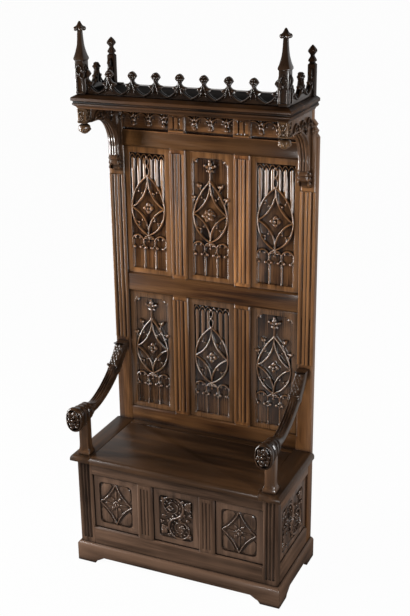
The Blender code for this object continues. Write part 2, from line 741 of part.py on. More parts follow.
def make_chest_front():
    """Make the chest front's rails, muntins and three carved panels."""
    across = (-OPENING_EDGE, OPENING_EDGE)
    openings = chest_openings()
    low, high = CHEST_OPENING_BOTTOM, CHEST_OPENING_TOP
    mould = bed_mould([(-OPENING_EDGE + GAP, CHEST_FRONT_Y), (OPENING_EDGE - GAP, CHEST_FRONT_Y)])
    make_rail("chest_front_top_rail", FRONT, across, (high, CHEST_TOP - GAP), ["low"], openings, mould)
    bottom = make_rail("chest_front_bottom_rail", FRONT, across, (CHEST_RAIL_BOTTOM, low), ["high"], openings)
    cut_floor_groove(bottom, FRONT, across)
    for name, centre in MUNTIN_CENTRES.items():
        make_muntin("chest_front_muntin_" + name, FRONT, centre, (low, high), openings)
    drawings = {"left": draw_diamond, "centre": draw_scrolls, "right": draw_diamond}
    margins = (FIELD_MARGIN, FIELD_MARGIN)
    for name, draw in drawings.items():
        make_panel("chest_front_panel_" + name, FRONT, opening_range(name), (low, high), margins,
                   FIELD_CORNER, draw)


def cut_floor_groove(rail, face, across):
    """Plough the groove that holds the chest floor into a bottom rail's inner side."""
    tool = bmesh.new()
    up = (FLOOR_BOTTOM - GAP, FLOOR_BOTTOM + FLOOR_THICKNESS + GAP)
    depth = (FRAME_THICKNESS - FLOOR_GROOVE, FRAME_THICKNESS + CUT_PAST)
    add_block(tool, face, (across[0] - CUT_PAST, across[1] + CUT_PAST), up, depth)
    shape(rail, tool, "DIFFERENCE")


def make_chest_sides():
    """Make the rails and carved panels of both chest sides."""
    across = (SIDE_OPENING_FRONT, REAR_POST_Y)
    low, high = CHEST_OPENING_BOTTOM, CHEST_OPENING_TOP
    top, bottom = (high, CHEST_TOP - GAP), (CHEST_RAIL_BOTTOM, low)
    openings = [(across, (low, high))]
    margins = (SIDE_FIELD_MARGIN, FIELD_MARGIN)
    for name, sign in SIDES.items():
        face = SIDE_FACES[name]
        path = [(sign * HALF_WIDTH, across[0] + GAP), (sign * HALF_WIDTH, across[1] - GAP)]
        mould = bed_mould(path if sign > 0 else path[::-1])
        make_rail("chest_side_top_rail_" + name, face, across, top, ["low"], openings, mould)
        rail = make_rail("chest_side_bottom_rail_" + name, face, across, bottom, ["high"], openings)
        cut_floor_groove(rail, face, across)
        make_panel("chest_side_panel_" + name, face, across, (low, high), margins, FIELD_CORNER, draw_scrolls)


def make_chest_inside():
    """Make the chest's floor board and its plain rear board."""
    seat = FRAME_THICKNESS - FLOOR_GROOVE + GAP
    wide = HALF_WIDTH - seat
    narrow = OPENING_EDGE - GAP
    front = CHEST_FRONT_Y + seat
    shoulder = SIDE_OPENING_FRONT + GAP
    rear_shoulder = REAR_POST_Y - GAP
    rear = BACK_FRONT_Y + PANEL_RECESS - GAP
    half = [(narrow, front), (narrow, shoulder), (wide, shoulder), (wide, rear_shoulder),
            (narrow, rear_shoulder), (narrow, rear)]
    outline = half + mirrored(reversed(half))
    floor = bmesh.new()
    rings = [[(x, y, z) for x, y in outline] for z in (FLOOR_BOTTOM, FLOOR_BOTTOM + FLOOR_THICKNESS)]
    add_loft(floor, rings)
    make_piece("chest_floor", floor, HIDDEN_WOOD)
    board = bmesh.new()
    reach = GROOVE_DEPTH - PANEL_PLAY
    across = (-OPENING_EDGE - reach, OPENING_EDGE + reach)
    add_block(board, BACK, across, (BACK_BOARD_BOTTOM, BACK_BOTTOM_RAIL_LOW + reach), tenon_range())
    make_piece("chest_back_board", board, HIDDEN_WOOD)


def round_nosing(solid, edges_wanted):
    """Round the chosen upper edges of a seat board."""
    edges = [edge for edge in solid.edges if edges_wanted(edge)]
    bmesh.ops.bevel(solid, geom=edges, offset=SEAT_NOSING, segments=4, profile=0.5, affect="EDGES")


def is_top_edge(edge, axis, value):
    """Tell whether an edge lies on the seat's top at a given x or y."""
    return all(vert.co.z > SEAT_HEIGHT - 1e-6 and abs(vert.co[axis] - value) < 1e-6 for vert in edge.verts)


def make_seat():
    """Make the fixed seat ends and the hinge rail, and return the lid."""
    rear = BACK_FRONT_Y - GAP
    for name, sign in SIDES.items():
        solid = bmesh.new()
        inner, outer = sign * SEAT_END_INNER, sign * SEAT_HALF_WIDTH
        add_box(solid, (min(inner, outer), SEAT_FRONT_Y, CHEST_TOP), (max(inner, outer), rear, SEAT_HEIGHT))
        round_nosing(solid, lambda edge: is_top_edge(edge, 1, SEAT_FRONT_Y) or is_top_edge(edge, 0, outer))
        make_piece("seat_end_" + name, solid, SEAT_WOOD)
    rail = bmesh.new()
    half = SEAT_END_INNER - GAP
    add_box(rail, (-half, rear - HINGE_RAIL_DEPTH, CHEST_TOP), (half, rear, SEAT_HEIGHT))
    hinge_rail = make_piece("seat_hinge_rail", rail, SEAT_WOOD)
    lid_solid = bmesh.new()
    half = SEAT_END_INNER - LID_SIDE_CLEARANCE
    add_box(lid_solid, (-half, SEAT_FRONT_Y, CHEST_TOP), (half, HINGE_AXIS_Y - HINGE_JOINT / 2, SEAT_HEIGHT))
    round_nosing(lid_solid, lambda edge: is_top_edge(edge, 1, SEAT_FRONT_Y))
    lid = make_piece("seat_lid", lid_solid, SEAT_WOOD)
    for board, sign in ((hinge_rail, 1), (lid, -1)):
        tool = bmesh.new()
        for centre in hinge_centres().values():
            add_hinge_seat(tool, centre, sign)
        shape(board, tool, "DIFFERENCE")
    return lid


def hinge_centres():
    """Return where along the lid each hinge sits."""
    return {name: sign * (SEAT_END_INNER - HINGE_INSET) for name, sign in SIDES.items()}


def add_hinge_seat(solid, centre, sign):
    """Add the cutter for a hinge's barrel and leaf on one side of the joint."""
    half = HINGE_LENGTH / 2 + GAP
    barrel = sign * (BARREL_RADIUS + GAP)
    leaf = sign * (LEAF_SPACE / 2 + LEAF_THICKNESS + GAP)
    low = SEAT_HEIGHT - BARREL_RADIUS - GAP
    foot = SEAT_HEIGHT - LEAF_HEIGHT - GAP
    top = SEAT_HEIGHT + CUT_PAST
    outline = [(0.0, top), (barrel, top), (barrel, low), (leaf, low), (leaf, foot), (0.0, foot)]
    rings = [[(centre + end, HINGE_AXIS_Y + y, z) for y, z in outline] for end in (-half, half)]
    add_loft(solid, rings)


def add_rod(solid, start, end, radius):
    """Add a round rod along X on the hinge axis."""
    sides = 8
    circle = []
    for index in range(sides):
        turn = 2 * math.pi * index / sides
        circle.append((HINGE_AXIS_Y + radius * math.cos(turn), SEAT_HEIGHT + radius * math.sin(turn)))
    add_loft(solid, [[(x, y, z) for y, z in circle] for x in (start, end)])


def make_leaf(name, centre, sign, knuckles):
    """Make a hinge leaf with its knuckles round the axis."""
    solid = bmesh.new()
    inner, outer = sign * LEAF_SPACE / 2, sign * (LEAF_SPACE / 2 + LEAF_THICKNESS)
    sides = (HINGE_AXIS_Y + min(inner, outer), HINGE_AXIS_Y + max(inner, outer))
    half = HINGE_LENGTH / 2
    plate_top = SEAT_HEIGHT - BARREL_RADIUS - GAP
    foot = SEAT_HEIGHT - LEAF_HEIGHT
    add_box(solid, (centre - half, sides[0], foot), (centre + half, sides[1], plate_top))
    leaf = make_piece(name, solid, DARK_IRON)
    for start, end in knuckles:
        web = bmesh.new()
        web_top = SEAT_HEIGHT - BARREL_RADIUS / 2
        add_box(web, (centre + start, sides[0], foot + CUT_PROUD), (centre + end, sides[1], web_top))
        shape(leaf, web, "UNION")
        barrel = bmesh.new()
        add_rod(barrel, centre + start, centre + end, BARREL_RADIUS)
        shape(leaf, barrel, "UNION")
    return leaf


def make_hinges():
    """Make both butt hinges and return the leaves that move with the lid."""
    third = HINGE_LENGTH / 6
    moving = []
    for name, centre in hinge_centres().items():
        outer = [(-3 * third, -third - GAP), (third + GAP, 3 * third)]
        fixed = make_leaf("hinge_fixed_leaf_" + name, centre, 1, outer)
        pin = bmesh.new()
        add_rod(pin, centre - 2 * third, centre + 2 * third, PIN_RADIUS)
        shape(fixed, pin, "UNION")
        lid_leaf = make_leaf("hinge_lid_leaf_" + name, centre, -1, [(-third, third)])
        bore = bmesh.new()
        add_rod(bore, centre - 2 * third, centre + 2 * third, PIN_RADIUS + GAP)
        shape(lid_leaf, bore, "DIFFERENCE")
        moving.append(lid_leaf)
    return moving


def arm_ring(centre, half_width, half_height, tilt, power):
    """Return one cross-section of an arm: a rounded box or an oval, tilted with the arm."""
    sides = 10
    ring = []
    for index in range(sides):
        turn = 2 * math.pi * (index + 0.5) / sides
        cosine, sine = math.cos(turn), math.sin(turn)
        across = half_width * math.copysign(abs(cosine) ** (2 / power), cosine)
        lift = half_height * math.copysign(abs(sine) ** (2 / power), sine)
        y, z = centre[1] - lift * math.sin(tilt), centre[2] + lift * math.cos(tilt)
        ring.append((centre[0] + across, y, z))
    return ring


def arm_rings(x):
    """Return the arm's cross-sections from the stile down to the rosette."""
    end = Vector((BACK_FRONT_Y - ARM_COLLAR_SETBACK, SEAT_HEIGHT + ARM_COLLAR_RISE))
    away = Vector((-math.sin(ARM_END_SLOPE), math.cos(ARM_END_SLOPE)))
    centre = end + away * ARM_CURVE_RADIUS
    rings = []
    steepest = ARM_END_SLOPE + ARM_END_PAST
    steps = 9
    for index in range(steps + 1):
        share = index / steps
        slope = steepest + (ARM_FRONT_SLOPE - steepest) * share
        half = (ARM_THICK_REAR + (ARM_THICK_FRONT - ARM_THICK_REAR) * share) / 2
        reach = ARM_CURVE_RADIUS + half
        y, z = centre.x + reach * math.sin(slope), centre.y - reach * math.cos(slope)
        rings.append(arm_ring((x, y, z), ARM_WIDTH / 2, half, slope, 5.0))
    level = SEAT_HEIGHT + KNUCKLE_RISE
    wide, tall = ROSETTE_WIDTH / 2, ROSETTE_HEIGHT / 2
    knuckle = ((0.00, 0.66, 0.46), (0.14, 0.76, 0.60), (0.24, 0.84, 0.70), (0.30, 0.78, 0.66),
               (0.42, 0.86, 0.74), (0.48, 0.80, 0.70), (0.62, 0.88, 0.80), (0.68, 0.82, 0.76),
               (0.82, 0.92, 0.90), (0.88, 1.00, 1.00), (0.96, 1.00, 1.00), (1.00, 0.84, 0.86))
    for share, width, height in knuckle:
        y = ARM_FRONT_Y + KNUCKLE_LENGTH * (1 - share)
        squareness = max(4.0 - 7.0 * share, 2.2)
        rings.append(arm_ring((x, y, level), wide * width, tall * height, 0.0, squareness))
    return rings


def make_arms():
    """Make the curved arms and the posts that stand in them."""
    post_top = SEAT_HEIGHT + ARM_POST_RISE
    for name, sign in SIDES.items():
        x = sign * ARM_X
        solid = bmesh.new()
        add_loft(solid, arm_rings(x))
        cut_away(solid, (0, BACK_FRONT_Y - GAP, 0), (0, 1, 0))
        cut_away(solid, (0, 0, SEAT_HEIGHT + ARM_COLLAR_RISE), (0, 0, 1))
        arm = make_piece("arm_" + name, solid, FRAME_WOOD)
        housing = bmesh.new()
        wide, deep = ARM_POST_WIDTH / 2 + GAP, ARM_POST_DEPTH / 2 + GAP
        add_box(housing, (x - wide, ARM_POST_Y - deep, SEAT_HEIGHT),
                (x + wide, ARM_POST_Y + deep, post_top + GAP))
        shape(arm, housing, "DIFFERENCE")
        base = ((1.0, 0.0), (1.0, 0.27), (0.45, 0.42), (0.12, 0.67), (0.0, 1.0))
        steps = [(share, SEAT_HEIGHT + GAP + ARM_POST_BASE * rise) for share, rise in base]
        rings = []
        for share, z in [*steps, (0.0, post_top)]:
            wide = ARM_POST_WIDTH / 2 + ARM_POST_FLARE * share
            deep = ARM_POST_DEPTH / 2 + ARM_POST_FLARE * share
            corners = ((-1, -1), (1, -1), (1, 1), (-1, 1))
            rings.append([(x + wide * a, ARM_POST_Y + deep * b, z) for a, b in corners])
        post = bmesh.new()
        add_loft(post, rings)
        make_piece("arm_post_" + name, post, FRAME_WOOD)


def stile_outline(sign):
    """Return a stile's outline above the seat, with its cusped shoulder under the cornice."""
    step = HALF_WIDTH - CANOPY_HALF_WIDTH
    top = ROOF_HEIGHT - SHOULDER_TOP_DROP
    cusps = ((1.00, 0.0), (0.62, 0.19), (0.82, 0.36), (0.38, 0.56), (0.66, 0.72), (0.00, 1.0))
    outline = [(OPENING_EDGE, 0.0), (HALF_WIDTH, 0.0)]
    for share, rise in cusps:
        outline.append((CANOPY_HALF_WIDTH + step * share, top - SHOULDER_HEIGHT * (1 - rise)))
    head = ROOF_HEIGHT + STILE_HEAD
    outline += [(CANOPY_HALF_WIDTH, head), (OPENING_EDGE, head)]
    return [(sign * across, up) for across, up in outline]


def square_rings(x, y, steps):
    """Return square rings about an upright axis from half-widths and heights."""
    corners = ((-1, -1), (1, -1), (1, 1), (-1, 1))
    return [[(x + half * a, y + half * b, z) for a, b in corners] for half, z in steps]


def make_stiles():
    """Make the back's stiles, each with the chest's rear post below and a pinnacle above."""
    for name, sign in SIDES.items():
        solid = bmesh.new()
        add_plate(solid, BACK, stile_outline(sign), (0, FRAME_THICKNESS))
        stile = make_piece("back_stile_" + name, solid, FRAME_WOOD)
        inner, outer = sign * OPENING_EDGE, sign * HALF_WIDTH
        post = bmesh.new()
        add_box(post, (min(inner, outer), REAR_POST_Y, 0.0), (max(inner, outer), REAR_Y, CHEST_TOP - GAP))
        shape(stile, post, "UNION")
        half = REAR_PINNACLE_WIDTH / 2
        foot, head = ROOF_HEIGHT + GAP, ROOF_HEIGHT + REAR_PINNACLE_SHAFT
        rise = REAR_PINNACLE_HEIGHT - REAR_PINNACLE_SHAFT
        profile = ((0.90, 0.03), (0.66, 0.07), (0.66, 0.14), (0.94, 0.17), (0.90, 0.25), (0.48, 0.42),
                   (0.50, 0.50), (1.02, 0.66), (0.86, 0.78), (0.42, 0.92), (0.10, 1.0))
        steps = [(half, foot), (half, head)] + [(half * share, head + rise * up) for share, up in profile]
        spire = bmesh.new()
        add_loft(spire, square_rings(sign * REAR_PINNACLE_X, REAR_PINNACLE_Y, steps))
        shape(stile, spire, "UNION")
        tool = bmesh.new()
        slot = (inner - sign * CUT_PAST, inner + sign * GROOVE_DEPTH)
        upright = (CHEST_RAIL_BOTTOM, ROOF_HEIGHT - GROOVE_DEPTH)
        add_block(tool, BACK, (min(slot), max(slot)), upright, groove_range())
        side_slot = (REAR_POST_Y - CUT_PAST, REAR_POST_Y + GROOVE_DEPTH)
        side_upright = (CHEST_RAIL_BOTTOM, CHEST_TOP - GROOVE_DEPTH)
        add_block(tool, SIDE_FACES[name], side_slot, side_upright, groove_range())
        add_chamfers(tool, BACK, back_openings())
        middle = sign * (HALF_WIDTH - STILE_WIDTH / 2)
        arm_clear = SEAT_HEIGHT + ARM_COLLAR_RISE + FLUTE_STOP
        toe_clear = ROOF_HEIGHT - BRACKET_TOE_DROP - FLUTE_STOP
        add_flutes(tool, BACK, middle, (arm_clear, BACK_LOWER_OPENING_TOP - FLUTE_STOP))
        add_flutes(tool, BACK, middle, (BACK_UPPER_OPENING_BOTTOM + FLUTE_STOP, toe_clear))
        shape(stile, tool, "DIFFERENCE")


def make_back():
    """Make the back's rails, muntins, head board and six tracery panels."""
    across = (-OPENING_EDGE, OPENING_EDGE)
    openings = back_openings()
    lower = (BACK_LOWER_OPENING_BOTTOM, BACK_LOWER_OPENING_TOP)
    upper = (BACK_UPPER_OPENING_BOTTOM, BACK_UPPER_OPENING_TOP)
    make_rail("back_bottom_rail", BACK, across, (BACK_BOTTOM_RAIL_LOW, lower[0]), ["low", "high"], openings)
    make_rail("back_middle_rail", BACK, across, (lower[1], upper[0]), ["low", "high"], openings)
    make_rail("back_top_rail", BACK, across, (upper[1], BACK_TOP_RAIL_TOP), ["low"], openings)
    tiers = {"lower": lower, "upper": upper}
    for tier, up in tiers.items():
        for name, centre in MUNTIN_CENTRES.items():
            make_muntin("back_muntin_" + tier + "_" + name, BACK, centre, up, openings)
        for name in OPENING_CENTRES:
            reeded = (tier == "upper") != (name == "centre")
            draw = draw_reeded_tracery if reeded else draw_crocketed_tracery
            corner = REEDED_FIELD_CORNER if reeded else FIELD_CORNER
            make_panel("back_panel_" + tier + "_" + name, BACK, opening_range(name), up,
                       (FIELD_MARGIN, FIELD_MARGIN), corner, draw)
    make_head_board(across)


def frieze_pocket(centre):
    """Return the outline of one bay's pocket, whose round arches leave drops hanging between them."""
    left, right = centre - OPENING_WIDTH / 2, centre + OPENING_WIDTH / 2
    foot = BACK_TOP_RAIL_TOP + FRIEZE_MARGIN
    crown = BACK_TOP_RAIL_TOP + FRIEZE_CROWN_RISE
    spring = BACK_TOP_RAIL_TOP + FRIEZE_SPRING_RISE
    tip = BACK_TOP_RAIL_TOP + FRIEZE_TIP_RISE
    pitch = OPENING_WIDTH / FRIEZE_DROPS
    reach, heel = DROP_WIDTH / 2, tip + DROP_WIDTH * 0.4
    span = pitch / 2 - reach
    turns = [math.pi / 2 * step / 3 for step in range(4)]
    outline = [(left, foot), (right, foot)]
    for index in range(FRIEZE_DROPS):
        middle = right - pitch * (index + 0.5)
        falling = [(pitch / 2 - span * math.sin(turn), spring + (crown - spring) * math.cos(turn))
                   for turn in turns]
        right_half = [(middle + across, up) for across, up in falling]
        left_half = [(middle - across, up) for across, up in reversed(falling)]
        drop = [(middle + reach * 0.7, heel), (middle, tip), (middle - reach * 0.7, heel)]
        outline += right_half[min(index, 1):] + drop + left_half
    return outline


def make_head_board(across):
    """Make the board under the canopy: a frieze of arches and drops between two fluted blocks."""
    low, high = BACK_TOP_RAIL_TOP + GAP, ROOF_HEIGHT - GAP
    board = make_rail("back_head_board", BACK, across, (low, high), [], [])
    tool = bmesh.new()
    for centre in OPENING_CENTRES.values():
        add_plate(tool, BACK, frieze_pocket(centre), (-CUT_PROUD, FRIEZE_DEPTH))
    fluted = (BACK_TOP_RAIL_TOP + FRIEZE_MARGIN, BACK_TOP_RAIL_TOP + FRIEZE_CROWN_RISE)
    for centre in MUNTIN_CENTRES.values():
        add_flutes(tool, BACK, centre, fluted)
    shape(board, tool, "DIFFERENCE")


def make_canopy():
    """Make the canopy's top board and the cornice that wraps it on three sides."""
    board = bmesh.new()
    half = CANOPY_HALF_WIDTH
    add_box(board, (-half, CANOPY_FRONT_Y, CANOPY_UNDERSIDE), (half, BACK_FRONT_Y - GAP, ROOF_HEIGHT))
    make_piece("canopy_board", board, CANOPY_WOOD)
    steps = ((0.00, 0.00), (0.10, 0.00), (0.14, 0.06), (0.30, 0.15), (0.58, 0.20),
             (0.60, 0.24), (0.78, 0.26), (0.80, 0.38), (0.66, 0.42), (0.66, 0.50),
             (0.84, 0.56), (1.00, 0.58), (1.00, 0.78), (0.86, 0.82), (0.00, 1.00))
    profile = [(GAP + CORNICE_REACH * reach, CORNICE_BOTTOM + CORNICE_HEIGHT * rise) for reach, rise in steps]
    path = [(-half, REAR_Y), (-half, CANOPY_FRONT_Y), (half, CANOPY_FRONT_Y), (half, REAR_Y)]
    cornice = bmesh.new()
    mitred_sweep(cornice, path, profile)
    make_piece("cornice_moulding", cornice, CANOPY_WOOD)


def make_pendants():
    """Make the corner pendants: a square block with a carved bud below."""
    half = PENDANT_WIDTH / 2
    block_low = ROOF_HEIGHT - PENDANT_BLOCK_DROP
    tip = ROOF_HEIGHT - PENDANT_TIP_DROP
    profile = ((0.50, 1.10), (0.46, 0.94), (0.62, 0.88), (0.94, 0.74),
               (1.00, 0.55), (0.84, 0.28), (0.45, 0.07), (0.12, 0.0))
    sides = 10
    for name, sign in SIDES.items():
        x = sign * CORNER_X
        solid = bmesh.new()
        block_top = CORNICE_BOTTOM - GAP
        add_box(solid, (x - half, CORNER_Y - half, block_low), (x + half, CORNER_Y + half, block_top))
        pendant = make_piece("pendant_" + name, solid, CANOPY_WOOD)
        spigot = bmesh.new()
        inner = sign * (CORNER_X - half + PENDANT_SPIGOT_INSET)
        outer = sign * (CANOPY_HALF_WIDTH - PENDANT_SPIGOT_INSET)
        front, rear = CANOPY_FRONT_Y + PENDANT_SPIGOT_INSET, CORNER_Y + half - PENDANT_SPIGOT_INSET
        low, high = CORNICE_BOTTOM - PENDANT_SPIGOT_EMBED, CANOPY_UNDERSIDE - GAP
        add_box(spigot, (min(inner, outer), front, low), (max(inner, outer), rear, high))
        shape(pendant, spigot, "UNION")
        rings = []
        for share, rise in profile:
            turns = [2 * math.pi * (index + 0.5) / sides for index in range(sides)]
            radius, z = PENDANT_BUD_RADIUS * share, tip + (block_low - tip) * rise
            rings.append([(x + radius * math.cos(t), CORNER_Y + radius * math.sin(t), z) for t in turns])
        bud = bmesh.new()
        add_loft(bud, rings)
        shape(pendant, bud, "UNION")


def bracket_outline():
    """Return a side bracket's outline from the pendant to the stile, with its arch and carved foot."""
    front = CORNER_Y + PENDANT_WIDTH / 2 + GAP
    rear = BACK_FRONT_Y - GAP
    top = CANOPY_UNDERSIDE - GAP
    leg = rear - BRACKET_LEG
    crown = ROOF_HEIGHT - BRACKET_CROWN_DROP
    steps = 9
    arch = []
    for index in range(steps + 1):
        turn = math.pi / 2 * index / steps
        arch.append((leg - BRACKET_ARCH_REACH * (1 - math.sin(turn)),
                     crown - BRACKET_ARCH_HEIGHT * (1 - math.cos(turn))))
    foot, toe = ROOF_HEIGHT - BRACKET_FOOT_DROP, ROOF_HEIGHT - BRACKET_TOE_DROP
    drop = foot - toe
    corbel = ((0.00, 0.00), (-0.12, 0.10), (-0.12, 0.22), (0.08, 0.30),
              (0.02, 0.48), (0.30, 0.60), (0.42, 0.80), (1.0, 1.0))
    end = [(leg + BRACKET_LEG * reach, foot - drop * share) for reach, share in corbel]
    return [(rear, top), (front, top), (front, crown), *arch, *end]


def make_brackets():
    """Make the side brackets that carry the canopy on the stiles."""
    for name, sign in SIDES.items():
        solid = bmesh.new()
        inward = HALF_WIDTH - CANOPY_HALF_WIDTH
        add_plate(solid, SIDE_FACES[name], bracket_outline(), (inward, inward + BRACKET_THICKNESS))
        make_piece("canopy_bracket_" + name, solid, CANOPY_WOOD)


def fleuron_side():
    """Return one side of a fleuron, from its arch foot up to the tip, as shares of the crest height."""
    return ((0.0130, 0.30), (0.0255, 0.40), (0.0255, 0.49), (0.0140, 0.52), (0.0065, 0.60),
            (0.0065, 0.66), (0.0175, 0.81), (0.0125, 0.91), (0.0060, 0.975))


def crest_outline(start, end, bays, lift):
    """Return a crest's outline: fleurons on a row of hollow curves, half ones at the ends."""
    foot = ROOF_HEIGHT + GAP
    base = foot + lift
    pitch = (end - start) / bays
    waist, waist_rise = fleuron_side()[0]
    steps = 3
    outline = [(start, foot)]
    for bay in range(bays + 1):
        centre = start + bay * pitch
        side = [(reach, base + CREST_HEIGHT * rise) for reach, rise in fleuron_side()]
        if bay > 0:
            outline += [(centre - reach, z) for reach, z in side]
        outline.append((centre, base + CREST_HEIGHT))
        if bay < bays:
            outline += [(centre + reach, z) for reach, z in reversed(side)]
            low, high = base + CREST_DIP, base + CREST_HEIGHT * waist_rise
            half = pitch / 2 - waist
            for step in range(1, 2 * steps):
                turn = math.pi * step / (2 * steps)
                across = centre + waist + half * (1 - math.cos(turn))
                outline.append((across, high - (high - low) * math.sin(turn)))
    outline.append((end, foot))
    return outline


def crest_bays(start, end):
    """Return how many bays of about the usual pitch fit between two ends."""
    return max(1, round((end - start) / CREST_PITCH))


def make_crests():
    """Make the front and side cresting between the pinnacles."""
    half = PINNACLE_WIDTH / 2 + GAP
    end = CORNER_X - half
    front = bmesh.new()
    middle = CORNER_Y - BACK_FRONT_Y
    thickness = (-CREST_THICKNESS / 2, CREST_THICKNESS / 2)
    outline = crest_outline(-end, end, crest_bays(-end, end), 0.0)
    add_plate(front, BACK, outline, [middle + side for side in thickness])
    make_piece("crest_front", front, CANOPY_WOOD)
    for name in SIDES:
        solid = bmesh.new()
        middle = HALF_WIDTH - REAR_PINNACLE_X
        ends = (CORNER_Y + half, REAR_PINNACLE_Y - REAR_PINNACLE_WIDTH / 2 - GAP)
        outline = crest_outline(*ends, crest_bays(*ends), SIDE_CREST_LIFT)
        add_plate(solid, SIDE_FACES[name], outline, [middle + side for side in thickness])
        make_piece("crest_" + name, solid, CANOPY_WOOD)


def lancet(low, high, half):
    """Return a niche outline with a pointed head."""
    spring = high - half * 1.5
    arch = [(half * math.cos(turn) ** 0.8, spring + (high - spring) * math.sin(turn))
            for turn in (0.0, math.pi / 6, math.pi / 3)]
    right = [(half, low), *arch]
    return right + [(0.0, high)] + mirrored(reversed(right))


def make_pinnacles():
    """Make the front pinnacles: a niched shaft with a hollow spire and a leafy cap."""
    half = PINNACLE_WIDTH / 2
    head = ROOF_HEIGHT + PINNACLE_SHAFT
    rise = PINNACLE_HEIGHT - PINNACLE_SHAFT
    profile = ((1.15, 0.03), (1.15, 0.10), (0.86, 0.22), (0.62, 0.36), (0.46, 0.52), (0.38, 0.74),
               (0.52, 0.78), (0.95, 0.855), (0.72, 0.90), (0.34, 0.955), (0.08, 1.0))
    steps = [(half, ROOF_HEIGHT + GAP), (half, head)]
    steps += [(half * share, head + rise * up) for share, up in profile]
    upper_top = head - NICHE_HEAD_MARGIN
    upper_foot = upper_top - UPPER_NICHE_HEIGHT
    upper = lancet(upper_foot, upper_top, NICHE_HALF_WIDTH)
    lower = lancet(ROOF_HEIGHT + NICHE_FOOT_MARGIN, upper_foot - NICHE_SPACING, NICHE_HALF_WIDTH)
    for name, sign in SIDES.items():
        x = sign * CORNER_X
        solid = bmesh.new()
        add_loft(solid, square_rings(x, CORNER_Y, steps))
        pinnacle = make_piece("pinnacle_front_" + name, solid, CANOPY_WOOD)
        tool = bmesh.new()
        for inward in ((0, 1, 0), (0, -1, 0), (-1, 0, 0), (1, 0, 0)):
            across = (inward[1], -inward[0], 0)
            niche = Face(Vector((x, CORNER_Y, 0)) - Vector(inward) * half, across, inward)
            for outline in (upper, lower):
                add_plate(tool, niche, outline, (-CUT_PROUD, NICHE_DEPTH))
        shape(pinnacle, tool, "DIFFERENCE")


def hang_lid(lid_pieces):
    """Parent the lid and its leaves to an empty on the hinge axis."""
    axis = bpy.data.objects.new("lid_hinge_axis", None)
    axis.location = (0, HINGE_AXIS_Y, SEAT_HEIGHT)
    bpy.context.scene.collection.objects.link(axis)
    for piece in lid_pieces:
        piece.data.transform(axis.matrix_basis.inverted())
        piece.parent = axis


def main():
    """Build the whole bench."""
    clear_scene()
    make_plinth()
    make_front_posts()
    make_chest_front()
    make_chest_sides()
    make_chest_inside()
    lid = make_seat()
    leaves = make_hinges()
    make_arms()
    make_stiles()
    make_back()
    make_canopy()
    make_pendants()
    make_brackets()
    make_crests()
    make_pinnacles()
    hang_lid([lid, *leaves])


if __name__ == "__main__":
    main()
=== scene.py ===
"""Looks of a neo-Gothic chest bench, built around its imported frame.

Lengths are in metres. X runs right, Y to the rear and Z up, as in the frame.
"""
import json
import logging
import math
from collections.abc import Callable, Iterable, Iterator, Sequence
from contextlib import contextmanager
from dataclasses import dataclass, replace
from enum import Enum

import bmesh
import bpy
from mathutils import Matrix, Vector


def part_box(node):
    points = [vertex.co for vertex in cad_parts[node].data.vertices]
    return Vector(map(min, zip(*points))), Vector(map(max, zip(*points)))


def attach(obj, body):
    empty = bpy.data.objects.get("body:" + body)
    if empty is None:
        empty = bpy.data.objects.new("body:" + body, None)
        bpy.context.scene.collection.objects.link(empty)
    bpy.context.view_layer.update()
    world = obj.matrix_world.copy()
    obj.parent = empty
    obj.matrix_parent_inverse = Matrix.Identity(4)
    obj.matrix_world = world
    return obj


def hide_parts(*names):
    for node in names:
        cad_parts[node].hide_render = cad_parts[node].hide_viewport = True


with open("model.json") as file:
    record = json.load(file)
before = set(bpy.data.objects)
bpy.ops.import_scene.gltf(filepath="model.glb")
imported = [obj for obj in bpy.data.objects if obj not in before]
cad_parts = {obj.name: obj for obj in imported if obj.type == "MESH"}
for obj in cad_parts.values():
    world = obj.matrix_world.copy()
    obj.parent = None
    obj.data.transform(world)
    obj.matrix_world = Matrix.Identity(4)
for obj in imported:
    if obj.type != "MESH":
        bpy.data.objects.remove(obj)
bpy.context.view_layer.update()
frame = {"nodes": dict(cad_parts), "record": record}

LOG = logging.getLogger("chest_bench")

Colour = tuple[float, float, float]
Pair = tuple[float, float]
Piece = bpy.types.Object
Socket = bpy.types.NodeSocket

# Noises of the wood: repeats per metre across and along the grain, and octaves.
FIGURE = (38.0, 2.2, 5.0)
FIBRE = (520.0, 9.0, 3.0)


class Grain(Enum):
    """The axis that a board's grain runs along."""

    ACROSS = 0
    DEEP = 1
    UPRIGHT = 2


